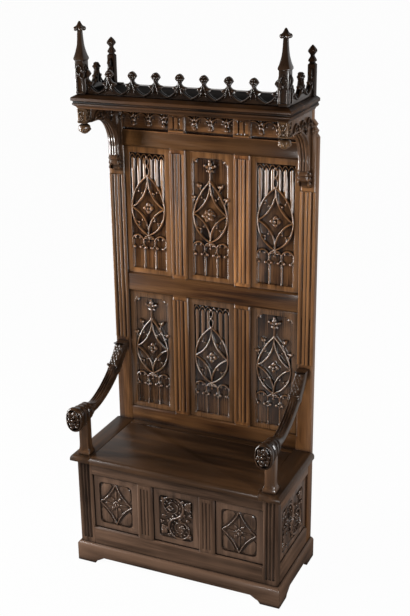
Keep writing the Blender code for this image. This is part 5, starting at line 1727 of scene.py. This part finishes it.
@dataclass
class Pendants:
    """The canopy's corner pendants: a traceried block over a leafy bud.

    Attributes:
        bud_height: Height of the bud.
        half_block: Half the width of the block.
        rib: Section of the block's tracery.
    """

    bud_height: float = 0.0395
    half_block: float = 0.0165
    rib: Rib = Rib(0.0044, 0.0036, 0.3)

    def build(self) -> None:
        """Carve the blocks' faces and model the buds."""
        kind = "pendant"
        low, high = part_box(kind + "_right")
        axis = Vector(((low.x + high.x) / 2, (low.y + high.y) / 2, low.z + self.bud_height))
        piece = copy_node(kind + "_right", kind + "_right_carved")
        soften(piece, 0.0010)
        carve_shaft(piece, axis, self.half_block, self.face)
        with Carver(piece, lying(axis)) as chisel:
            self.bud(chisel, low.z - axis.z)
        finish_carving(piece)
        dress_pair(piece, kind, Grain.UPRIGHT, 0.2)

    def face(self, chisel: Carver) -> None:
        """Carve crossed arcs with ball cusps on one face of the block.

        Args:
            chisel: Carver on the face.
        """
        half, low, high = 0.0140, 0.005, 0.050
        for sign in (-1, 1):
            chisel.rib(Arc(spot(sign * half, low), spot(-sign * half, high), sign * 0.0050), self.rib)
            chisel.ball(spot(sign * 0.0080, (low + high) / 2), 0.0028, 0.0018)
            for end, way in ((low, 1), (high, -1)):
                tip = spot(sign * 0.009, end + way * 0.014)
                chisel.leaf(spot(0.0, end + way * 0.004), tip, 0.006, 0.0036)
        chisel.rib(Arc(spot(-half, low - 0.002), spot(half, low - 0.002)), self.rib)
        chisel.ball(spot(0.0, (low + high) / 2), 0.0036, 0.0024)

    @staticmethod
    def bud(chisel: Carver, tip: float) -> None:
        """Add the leaves that wrap the bud.

        Args:
            chisel: Carver on the level foot of the block.
            tip: Height of the bud's tip under it.
        """
        side, leaves, radius = chisel.side, 8, 0.0135
        for index in range(leaves):
            angle = 2 * math.pi * index / leaves
            outline, size = [], 10
            out = turned(spot(1.0, 0.0), angle)
            left = turned(out, math.pi / 2)
            for step in range(size):
                share = 2 * math.pi * step / size
                across, along = 0.0052 * math.sin(share), radius + 0.0020 * math.cos(share)
                outline.append(out * along + left * across)
            chisel.face([side.at(corner, tip * 0.24) for corner in outline])
            for level, reach, wide in ((0.40, 0.0052, 1.35), (0.58, 0.0030, 1.0), (0.78, -0.0050, 0.8),
                                       (0.95, -0.0095, 0.45)):
                chisel.extrude(side.out * tip * 0.18 + (side.right * out.x + side.up * out.y) * reach)
                chisel.scale(wide, side.at(out * (radius + reach), tip * level))


@dataclass
class Cresting:
    """The crest of fleurons round the roof.

    Attributes:
        height: Height of a fleuron.
        pitch: Distance between fleurons that is aimed at.
        lift: Height of the side fleurons' feet over the roof.
        rib: Section of the ogee ribs.
    """

    height: float = 0.088
    pitch: float = 0.091
    lift: float = 0.008
    rib: Rib = Rib(0.0060, 0.0050, 0.40, 0.62)

    def build(self) -> None:
        """Carve the front crest and the two side crests on both faces."""
        for hand, back, axis, lift in (("front", "rear", 0, 0.0), ("left", "right", 1, self.lift),
                                       ("right", "left", 1, self.lift)):
            self.crest("crest_" + hand, (hand, back), axis, lift)

    def crest(self, node: str, faces: tuple[str, str], axis: int, lift: float) -> None:
        """Carve one crest.

        Args:
            node: Node that it stands for.
            faces: Ways that its outer and its inner face look.
            axis: Axis that it runs along.
            lift: Height of its fleurons' feet over the roof.
        """
        low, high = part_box(node)
        bays = round((high[axis] - low[axis]) / self.pitch)
        piece = copy_node(node, node + "_carved")
        soften(piece, 0.0011)
        pitch = (high[axis] - low[axis]) / bays
        for where in faces:
            origin = Vector((0.0, 0.0, low.z + lift))
            other = 1 - axis
            side = facing(where, origin)
            origin[other] = high[other] if side.out[other] > 0 else low[other]
            side = facing(where, origin)
            sign = 1 if side.right[axis] > 0 else -1
            with Carver(piece, side) as chisel:
                for bay in range(bays + 1):
                    halves = [sign * hand for hand in (-1, 1) if 0 <= bay + (hand - 1) // 2 < bays]
                    self.fleuron(chisel, sign * (low[axis] + bay * pitch), halves, pitch)
        finish_carving(piece)
        dress(piece, node, Grain(axis), 0.4)

    def fleuron(self, chisel: Carver, middle: float, halves: Sequence[int], pitch: float) -> None:
        """Carve one fleuron, or half of one at an end.

        Args:
            chisel: Carver on the crest's face.
            middle: Its axis.
            halves: Sides that exist, -1 and 1.
            pitch: Distance to the next one.
        """
        size = self.height
        for sign in halves:
            neck = spot(middle + sign * 0.0012, 0.66 * size)
            dip = spot(middle + sign * pitch * 0.49, 0.060 * size)
            chisel.rib(Arc(neck, dip, sign * -0.0105), self.rib)
            cusp = spot(middle + sign * 0.0105, 0.20 * size)
            chisel.leaf(spot(middle + sign * 0.0075, 0.42 * size), cusp, 0.0060, 0.0046)
            chisel.ball(cusp, 0.0028, 0.0022)
            chisel.leaf(spot(middle + sign * 0.0090, 0.44 * size),
                        spot(middle + sign * 0.0235, 0.445 * size), 0.0085, 0.0040)
        if len(halves) < 2:
            return
        bud = spot(middle, 0.815 * size)
        for way in (spot(0, 1), spot(1, 0), spot(0, -1), spot(-1, 0)):
            chisel.leaf(bud + way * 0.0030, bud + way * 0.0145, 0.0115, 0.0056)
        chisel.ball(bud, 0.0040, 0.0040)


@dataclass
class Pinnacles:
    """The front pinnacles, with two-light tracery on each face of the shaft.

    Attributes:
        rib: Section of the tracery.
        half_shaft: Half the width of the shaft.
        shaft: Height of the shaft.
    """

    rib: Rib = Rib(0.0048, 0.0040, 0.40)
    half_shaft: float = 0.0176
    shaft: float = 0.1190

    def build(self) -> None:
        """Model both pinnacles and carve every face of their shafts."""
        kind = "pinnacle_front"
        low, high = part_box(kind + "_right")
        foot = Vector(((low.x + high.x) / 2, (low.y + high.y) / 2, low.z))
        piece = self.spire(kind + "_right_carved", foot, high.z - low.z)
        soften(piece, 0.0010)
        carve_shaft(piece, foot, self.half_shaft, self.face)
        with Carver(piece, lying(foot)) as chisel:
            self.cap(chisel, high.z - low.z, 1.0)
        finish_carving(piece)
        dress_pair(piece, kind, Grain.UPRIGHT, 0.1)
        for hand in ("left", "right"):
            self.rear(hand)

    def rear(self, hand: str) -> None:
        """Model the small pinnacle that tops a stile.

        Args:
            hand: Hand of the stile.
        """
        node = "back_stile_" + hand
        piece = copy_node(node, node + "_pinnacle")
        cut_at_roof(piece, keep_beyond=True)
        corners = [corner.co for corner in piece.data.vertices]
        foot, head = min(point.z for point in corners), max(point.z for point in corners)
        height = head - foot
        tip = [point for point in corners if point.z > head - 0.002]
        middle = [sum(point[axis] for point in tip) / len(tip) for axis in (0, 1)]
        soften(piece, 0.0008)
        with Carver(piece, lying(Vector((*middle, foot)))) as chisel:
            self.cap(chisel, height, 0.74)
        finish_carving(piece)
        dress(piece, node, Grain.UPRIGHT, 0.2)
        piece.data.materials[0] = CANOPY_WOOD.material(Grain.UPRIGHT, 0.2, 0.75)

    def spire(self, name: str, foot: Vector, height: float) -> Piece:
        """Model the shaft and the slender spire over its collar.

        Args:
            name: Name of the piece.
            foot: Foot of its axis.
            height: Height of the whole pinnacle.

        Returns:
            The piece.
        """
        neck = height - 0.030
        rise = neck - self.shaft
        steps = [(self.half_shaft, 0.0), (self.half_shaft, self.shaft - 0.002), (0.0205, self.shaft + 0.001),
                 (0.0205, self.shaft + 0.007)]
        steps += [(half, self.shaft + 0.007 + (rise - 0.007) * share) for half, share in
                  ((0.0168, 0.11), (0.0136, 0.25), (0.0112, 0.38), (0.0096, 0.52), (0.0084, 0.70),
                   (0.0072, 1.0))]
        piece = new_piece(name)
        rings = [[foot + Vector((half * a, half * b, up)) for a, b in ((-1, -1), (1, -1), (1, 1), (-1, 1))]
                 for half, up in steps]
        with Carver(piece, lying(foot)) as chisel:
            chisel.loft(rings)
        return piece

    @staticmethod
    def cap(chisel: Carver, height: float, size: float) -> None:
        """Add the cap: four round lobes under a pointed bud.

        Args:
            chisel: Carver on the level foot of the pinnacle.
            height: Height of the whole pinnacle.
            size: Size of the cap, 1 on the front pinnacles.
        """
        level = height - 0.0265 * size
        for turn in (45, 135, 225, 315):
            out = turned(spot(size, 0.0), math.radians(turn))
            chisel.ball(out * 0.0150, 0.0082 * size, level)
            chisel.ball(out * 0.0080, 0.0088 * size, level + 0.003 * size)
        chisel.face([chisel.side.at(corner, level - 0.006 * size) for corner in circle(0.0098 * size, 16)])
        for rise, wide in ((0.010, 1.25), (0.006, 0.92), (0.006, 0.70), (0.006, 0.62), (0.0035, 0.45)):
            chisel.extrude(chisel.side.out * rise * size)
            level += rise * size
            chisel.scale(wide, chisel.side.at(spot(0.0, 0.0), level - 0.006 * size))

    def face(self, chisel: Carver) -> None:
        """Carve one face: a tall light below and an almond above.

        Args:
            chisel: Carver on the face.
        """
        for sign in (-1, 1):
            edge = sign * 0.0125
            for start, end, rise in ((spot(edge, 0.010), spot(edge, 0.046), 0.0),
                                     (spot(edge, 0.046), spot(0.0, 0.064), -sign * 0.0050),
                                     (spot(0.0, 0.060), spot(edge, 0.078), sign * 0.0030),
                                     (spot(edge, 0.078), spot(0.0, 0.102), -sign * 0.0040)):
                chisel.rib(Arc(start, end, rise), self.rib)
            for across, up in ((0.0075, 0.046), (0.0070, 0.080)):
                chisel.ball(spot(sign * across, up), 0.0018, 0.0004)
        chisel.rib(Arc(spot(-0.014, 0.008), spot(0.014, 0.008)), self.rib)


# Rings of an arm's curve: slope in degrees, swelling of the collar and depth of the reeds in millimetres.
ARM_CURVE = ((65, 1.5, 0), (58, 1.5, 0), (52, 1.5, 0), (47, 1.5, 0), (43, 1.5, 0), (42.4, 2.4, 0),
             (41.6, 2.8, 0), (40.8, 2.4, 0), (40.2, 0.6, 0), (39.6, 0.2, 0), (38.6, 0, 0.8), (37.5, 0, 2.8),
             (34, 0, 3.4), (30, 0, 3.4), (26, 0, 3.4), (22, 0, 3.4), (18, 0, 3.4), (15.5, 0, 2.2),
             (13, 0, 0.4))
# Rings of its knuckle: shares of the length, of half the width and of half the height.
ARM_KNUCKLE = ((0.00, 0.60, 0.40), (0.08, 0.66, 0.52), (0.15, 0.72, 0.60), (0.19, 0.80, 0.66),
               (0.22, 0.84, 0.71), (0.25, 0.84, 0.715), (0.28, 0.75, 0.690), (0.31, 0.74, 0.69),
               (0.35, 0.82, 0.72), (0.39, 0.87, 0.76), (0.43, 0.87, 0.765), (0.46, 0.77, 0.735),
               (0.50, 0.76, 0.745), (0.55, 0.85, 0.80), (0.60, 0.91, 0.84), (0.64, 0.91, 0.845),
               (0.67, 0.79, 0.815), (0.71, 0.79, 0.83), (0.77, 0.88, 0.88), (0.82, 0.93, 0.92),
               (0.86, 0.99, 0.985), (0.90, 1.0, 1.0), (0.95, 1.0, 1.0), (0.985, 0.95, 0.96),
               (1.0, 0.87, 0.89), (1.0, 0.82, 0.86), (0.935, 0.76, 0.81))


@dataclass
class Arms:
    """The curved arms, reeded along the top, with a carved collar behind and a leafy rosette in front.

    Attributes:
        half_width: Half the width of the arm.
        radius: Radius of its hollow curve along the top.
        thick_rear: Thickness at the stile.
        thick_front: Thickness behind the knuckle.
        slope_rear: Slope where it meets the stile, in degrees.
        slope_front: Slope where the knuckle starts, in degrees.
        slope_top: Slope where the curve reaches the arm's highest level, in degrees.
        setback: Distance of that place from the stile.
        length: Length of the knuckle.
        reach: Half the width and half the height of the rosette.
    """

    half_width: float = 0.020
    radius: float = 0.385
    thick_rear: float = 0.048
    thick_front: float = 0.031
    slope_rear: float = 65.0
    slope_front: float = 13.0
    slope_top: float = 56.0
    setback: float = 0.0407
    length: float = 0.128
    reach: Pair = (0.0355, 0.050)

    def build(self) -> None:
        """Model both arms."""
        kind = "arm"
        low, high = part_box(kind + "_right")
        middle = (low.x + high.x) / 2
        piece = new_piece(kind + "_right_carved")
        rings = self.curve(middle, high) + self.knuckle(middle, low)
        with Carver(piece, facing("front", (middle, rings[-1][0].y, low.z + self.reach[1]))) as chisel:
            chisel.loft(rings)
            self.flower(chisel)
        self.collar(piece, middle, high)
        for point, way in (((0.0, high.y, 0.0), (0, 1, 0)), ((0.0, 0.0, high.z), (0, 0, 1))):
            cut_off(piece, point, way)
        finish_carving(piece)
        dress_pair(piece, kind, Grain.DEEP, 0.2)

    @staticmethod
    def section(wide: float, tall: float, power: float, reeds: float) -> list[Pair]:
        """List one section's points as distance across and up.

        Args:
            wide: Half its width.
            tall: Half its height.
            power: Squareness, 2 for an oval.
            reeds: Depth of the valleys between the reeds on top.

        Returns:
            The points in order.
        """
        steps = 32
        ring = []
        for index in range(2 * steps):
            share = 1 - 2 * (index % steps) / steps
            across = share if index < steps else -share
            up = (1 - abs(across) ** power) ** (1 / power)
            valley = reeds * (1 - abs(math.sin(2 * math.pi * (across + 1)))) * (abs(across) < 0.99)
            ring.append((wide * across, tall * up - valley if index < steps else -tall * up))
        return ring

    def on_curve(self, high: Vector, degrees: float, reach: float) -> Pair:
        """Give the depth and height of a point of the curve.

        Args:
            high: Highest corner of the arm.
            degrees: Slope of the curve there.
            reach: Distance from the middle of the curve's circle.

        Returns:
            The depth and the height.
        """
        top, slope = math.radians(self.slope_top), math.radians(degrees)
        depth = high.y - self.setback - self.radius * math.sin(top) + math.sin(slope) * reach
        return depth, high.z + self.radius * math.cos(top) - math.cos(slope) * reach

    def curve(self, middle: float, high: Vector) -> list[list[Vector]]:
        """List the rings of the curved part, from the stile to the knuckle.

        Args:
            middle: The arm's place across.
            high: Highest corner of the arm.

        Returns:
            The rings.
        """
        rings = []
        for slope, proud, reeds in ARM_CURVE:
            share = (self.slope_rear - slope) / (self.slope_rear - self.slope_front)
            half = (self.thick_rear + (self.thick_front - self.thick_rear) * share) / 2
            turn = math.radians(slope)
            place = Vector((middle, *self.on_curve(high, slope, self.radius + half)))
            upward = Vector((0.0, -math.sin(turn), math.cos(turn)))
            ring = self.section(self.half_width + proud / 1000, half + proud / 1000, 5.0, reeds / 1000)
            rings.append([place + Vector((across, 0.0, 0.0)) + upward * up for across, up in ring])
        return rings

    def knuckle(self, middle: float, low: Vector) -> list[list[Vector]]:
        """List the rings of the collared knuckle and of the rosette's rim.

        Args:
            middle: The arm's place across.
            low: Lowest corner of the arm.

        Returns:
            The rings.
        """
        level = low.z + self.reach[1]
        rings = []
        for share, wide, tall in ARM_KNUCKLE:
            depth = low.y + self.length * (1 - share)
            power = 2.2 if share > 0.1 else 3.2
            ring = self.section(self.reach[0] * wide, self.reach[1] * tall, power, 0.0)
            rings.append([Vector((middle + across, depth, level + up)) for across, up in ring])
        return rings

    def flower(self, chisel: Carver) -> None:
        """Carve the leafy rosette on the knuckle's sunk end.

        Args:
            chisel: Carver on that end.
        """
        wide, tall = self.reach[0] * 0.76, self.reach[1] * 0.80
        petals = 6
        for index in range(petals):
            angle = 2 * math.pi * (index + 0.3) / petals
            way = spot(wide * math.sin(angle), tall * math.cos(angle))
            chisel.leaf(way * 0.14, way * 1.14, 0.0340, 0.0120, 1)
            chisel.leaf(way * 0.16, way * 0.62, 0.0125, 0.0165)
            chisel.ball(way * 0.82, 0.0064, 0.0090)
        chisel.ball(spot(0.0, 0.0), 0.0080, 0.0100)

    def collar(self, piece: Piece, middle: float, high: Vector) -> None:
        """Carve leaves and corner balls on the collar behind the reeds.

        Args:
            piece: The arm.
            middle: The arm's place across.
            high: Highest corner of the arm.
        """
        for degrees, end in ((52.5, 0.022), (46.0, -0.030)):
            slope = math.radians(degrees)
            origin = Vector((middle, *self.on_curve(high, degrees, self.radius - 0.001)))
            along = Vector((0.0, math.cos(slope), math.sin(slope)))
            with Carver(piece, Side(origin, Vector((1, 0, 0)), along)) as chisel:
                for row in range(4):
                    up = 0.014 - 0.011 * row
                    for place in (-0.0120, 0.0, 0.0120) if row % 2 else (-0.0062, 0.0062):
                        chisel.leaf(spot(place, up + 0.006), spot(place, up - 0.010), 0.0135, 0.0026)
                chisel.rib(Arc(spot(-0.022, end), spot(0.022, end)), Rib(0.0060, 0.0056, 0.45, 0.75))
                for sign in (-1, 1):
                    chisel.ball(spot(sign * 0.0185, end), 0.0058, 0.0045)


@dataclass
class ReededMembers:
    """The back's muntins and stiles with beads beside and between their flutes, and the chest's posts.

    Attributes:
        bead: Section of a bead on the back.
        places: Places of the beads across a member.
        stop: Distance of the beads' ends from a rail.
        groove: Depth of the grooves that hide a panel's edge.
        flute: Section of a chest post's flutes.
        pitch: Distance between these flutes.
        run: Heights of their ends.
    """

    bead: Rib = Rib(0.0122, 0.0036, 0.50, 0.78)
    places: tuple[float, ...] = (-0.0258, -0.0068, 0.0068, 0.0258)
    stop: float = 0.014
    groove: float = 0.007
    flute: Rib = Rib(0.0112, 0.0046, 0.30, 0.60)
    pitch: float = 0.014
    run: Pair = (0.106, 0.436)

    def build(self) -> None:
        """Carve every reeded member."""
        tiers = {tier: self.tier("back_panel_" + tier + "_centre") for tier in ("lower", "upper")}
        for hand, sign in (("left", -1), ("right", 1)):
            for tier, reach in tiers.items():
                self.member(f"back_muntin_{tier}_{hand}", reach)
            run = (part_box("arm_" + hand)[1].z + self.stop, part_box("canopy_bracket_" + hand)[0].z - self.stop)
            middle = sign * (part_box("back_stile_right")[1].x - 0.031)
            self.member("back_stile_" + hand, run, middle)
            self.post("chest_post_front_" + hand, middle)

    def post(self, node: str, across: float) -> None:
        """Cut a chest post's flutes from the plinth to the seat.

        Args:
            node: Node that it stands for.
            across: Middle of the flutes.
        """
        piece = copy_node(node, node + "_fluted")
        tool = new_piece("flute_cutter")
        with Carver(tool, facing("rear", (across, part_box("chest_front_muntin_left")[0].y, 0.0))) as chisel:
            for place in (-self.pitch, 0.0, self.pitch):
                chisel.rib(Arc(spot(place, self.run[0]), spot(place, self.run[1])), self.flute)
        cut_away(piece, tool)
        soften(piece, 0.0010)
        dress(piece, node, Grain.UPRIGHT, 0.3)

    def tier(self, panel: str) -> Pair:
        """Give the heights between the stops beside a panel."""
        low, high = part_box(panel)
        return low.z + self.groove + self.stop, high.z - self.groove - self.stop

    def member(self, node: str, run: Pair, across: float | None = None) -> None:
        """Carve one member.

        Args:
            node: Node that it stands for.
            run: Heights of the beads' ends.
            across: Middle of the beads, or None for the middle of the node.
        """
        low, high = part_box(node)
        piece = copy_node(node, node + "_reeded")
        if across is not None:
            cut_at_roof(piece, keep_beyond=False)
        soften(piece, 0.0012)
        face = ((low.x + high.x) / 2 if across is None else across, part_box("back_middle_rail")[0].y, 0.0)
        with Carver(piece, facing("front", face)) as chisel:
            for place in self.places:
                chisel.rib(Arc(spot(place, run[0]), spot(place, run[1])), self.bead)
        finish_carving(piece)
        dress(piece, node, Grain.UPRIGHT, 0.1 * (len(DRESSED) % 7))


@dataclass
class PlainJoinery:
    """Boards and members whose solids already have the real shape, with their edges eased.

    Attributes:
        ease: Width of the eased edges.
    """

    ease: float = 0.0012

    def build(self) -> None:
        """Copy every node that is still bare, ease its edges and dress it."""
        for index, node in enumerate(sorted(set(frame["nodes"]) - DRESSED)):
            piece = copy_node(node, node + "_eased")
            soften(piece, self.ease)
            dress(piece, node, self.grain_of(node), 0.1 * (index % 7))

    @staticmethod
    def grain_of(node: str) -> Grain:
        """Tell which way a node's grain runs: along its longest side."""
        low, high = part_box(node)
        return Grain(max(range(3), key=lambda axis: high[axis] - low[axis]))


# Lamps: name, place, height on the bench's axis that they face, size, watts and whether polish shows them.
LAMPS = (("key_lamp", (-1.5, -2.3, 2.75), 1.40, (0.6, 0.6), 95.0, False),
         ("left_strip", (-3.1, -0.8, 1.25), 1.05, (0.5, 2.4), 250.0, True),
         ("right_strip", (3.1, -1.3, 1.15), 1.05, (0.5, 2.0), 90.0, True),
         ("low_lamp", (0.7, -3.5, 0.70), 1.05, (0.6, 0.6), 40.0, True),
         ("rear_lamp", (1.8, 3.0, 1.9), 1.05, (1.2, 1.2), 80.0, False))


@dataclass
class Studio:
    """The floor, the lamps and the camera.

    Attributes:
        place: Where the camera stands.
        yaw: Turn of its view to the left, in degrees.
        pitch: Tilt of its view upward, in degrees.
        roll: Turn about its view, in degrees.
        lens: Focal length in millimetres, on a sensor of 36 mm along the long side.
        polish: Largest share of the pale background that polish shows.
    """

    place: tuple[float, float, float] = (1.6208, -3.4352, 2.4804)
    yaw: float = 24.344
    pitch: float = -20.145
    roll: float = -0.723
    lens: float = 63.83
    polish: float = 0.50

    def build(self) -> None:
        """Set up the view, the light and the ground."""
        scene = bpy.context.scene
        scene.view_settings.view_transform = "Standard"
        self.add_camera(scene)
        self.add_world(scene)
        self.add_floor()
        for lamp in LAMPS:
            self.add_lamp(*lamp)

    def add_camera(self, scene: bpy.types.Scene) -> None:
        """Add the camera at the photograph's place.

        Args:
            scene: Scene that takes it.
        """
        yaw, pitch, roll = (math.radians(angle) for angle in (self.yaw, self.pitch, self.roll))
        view = Vector((-math.sin(yaw) * math.cos(pitch), math.cos(yaw) * math.cos(pitch), math.sin(pitch)))
        right = view.cross(Vector((0, 0, 1))).normalized()
        up = right.cross(view)
        across = math.cos(roll) * right + math.sin(roll) * up
        upward = math.cos(roll) * up - math.sin(roll) * right
        data = bpy.data.cameras.new("camera")
        data.lens = self.lens
        data.sensor_width = 36.0
        camera = bpy.data.objects.new("camera", data)
        scene.collection.objects.link(camera)
        turn = Matrix((across, upward, -view)).transposed()
        camera.matrix_world = Matrix.Translation(self.place) @ turn.to_4x4()
        scene.camera = camera

    def add_world(self, scene: bpy.types.Scene) -> None:
        """Make a dim world that the camera sees as white.

        Args:
            scene: Scene that takes it.
        """
        world = bpy.data.worlds.new("studio_air")
        world.use_nodes = True
        sheet = ShaderSheet(world.node_tree)
        dim, white = sheet.tree.nodes["Background"], sheet.add("ShaderNodeBackground")
        for light, strength in ((dim, 0.03), (white, 1.0)):
            light.inputs["Color"].default_value = (1.0, 1.0, 1.0, 1.0)
            light.inputs["Strength"].default_value = strength
        share = self.light_share(sheet, "Generated", 0.35, 0.75)
        sheet.blend(share, dim.outputs["Background"], white.outputs["Background"], "World Output")
        scene.world = world

    def light_share(self, sheet: ShaderSheet, coordinates: str, start: float, end: float) -> Socket:
        """Give the share of the pale background in what a ray sees.

        Args:
            sheet: Node tree that takes the nodes.
            coordinates: Kind of coordinates whose Y is read.
            start: Y where polish starts to show the pale background.
            end: Y from which it shows the most.

        Returns:
            All for the camera and through glass, and a part in polish.
        """
        share = sheet.span(sheet.axis(sheet.place(coordinates), 1), start, end, 0.0, self.polish)
        path = sheet.add("ShaderNodeLightPath")
        for kind, operation in (("Is Glossy Ray", "MULTIPLY"), ("Is Transmission Ray", "MAXIMUM"),
                                ("Is Camera Ray", "MAXIMUM")):
            share = sheet.math(operation, share, path.outputs[kind])
        return share

    def add_floor(self) -> None:
        """Add the pale floor, which the camera sees almost as white."""
        deselect_all()
        bpy.ops.mesh.primitive_plane_add(size=120.0, location=(0.0, 0.0, -0.0005))
        floor = bpy.context.object
        floor.name = "floor"
        material = bpy.data.materials.new("pale_floor")
        material.use_nodes = True
        sheet = ShaderSheet(material.node_tree)
        matt, glow = sheet.principled, sheet.add("ShaderNodeEmission")
        matt.inputs["Base Color"].default_value = (0.08, 0.08, 0.08, 1.0)
        matt.inputs["Roughness"].default_value = 0.9
        glow.inputs["Strength"].default_value = 1.05
        share = sheet.math("MULTIPLY", self.light_share(sheet, "Object", 0.3, 1.5), 0.93)
        sheet.blend(share, matt.outputs["BSDF"], glow.outputs["Emission"], "Material Output")
        floor.data.materials.append(material)

    @staticmethod
    def add_lamp(name: str, place: Sequence[float], aim: float, size: Pair, power: float,
                 shown: bool) -> None:
        """Add one soft lamp.

        Args:
            name: The lamp's name.
            place: Where it hangs.
            aim: Height on the bench's axis that it faces.
            size: Its width and height.
            power: Its power in watts.
            shown: Whether polish shows it.
        """
        data = bpy.data.lights.new(name, "AREA")
        data.shape = "RECTANGLE"
        data.size, data.size_y = size
        data.energy = power
        lamp = bpy.data.objects.new(name, data)
        bpy.context.scene.collection.objects.link(lamp)
        turn = (Vector((0.0, 0.0, aim)) - Vector(place)).to_track_quat("-Z", "Y")
        lamp.matrix_world = Matrix.Translation(place) @ turn.to_matrix().to_4x4()
        lamp.visible_glossy = shown


def main() -> None:
    """Build the studio and every piece of the bench."""
    logging.basicConfig(level=logging.INFO, format="%(message)s")
    Studio().build()
    for assembly in (TraceryBack(), ChestPanels(), HeadFrieze(), Brackets(), Pendants(), Cresting(),
                     Pinnacles(), Arms(), ReededMembers(), PlainJoinery()):
        LOG.info("building %s", type(assembly).__name__)
        assembly.build()


if __name__ == "__main__":
    main()
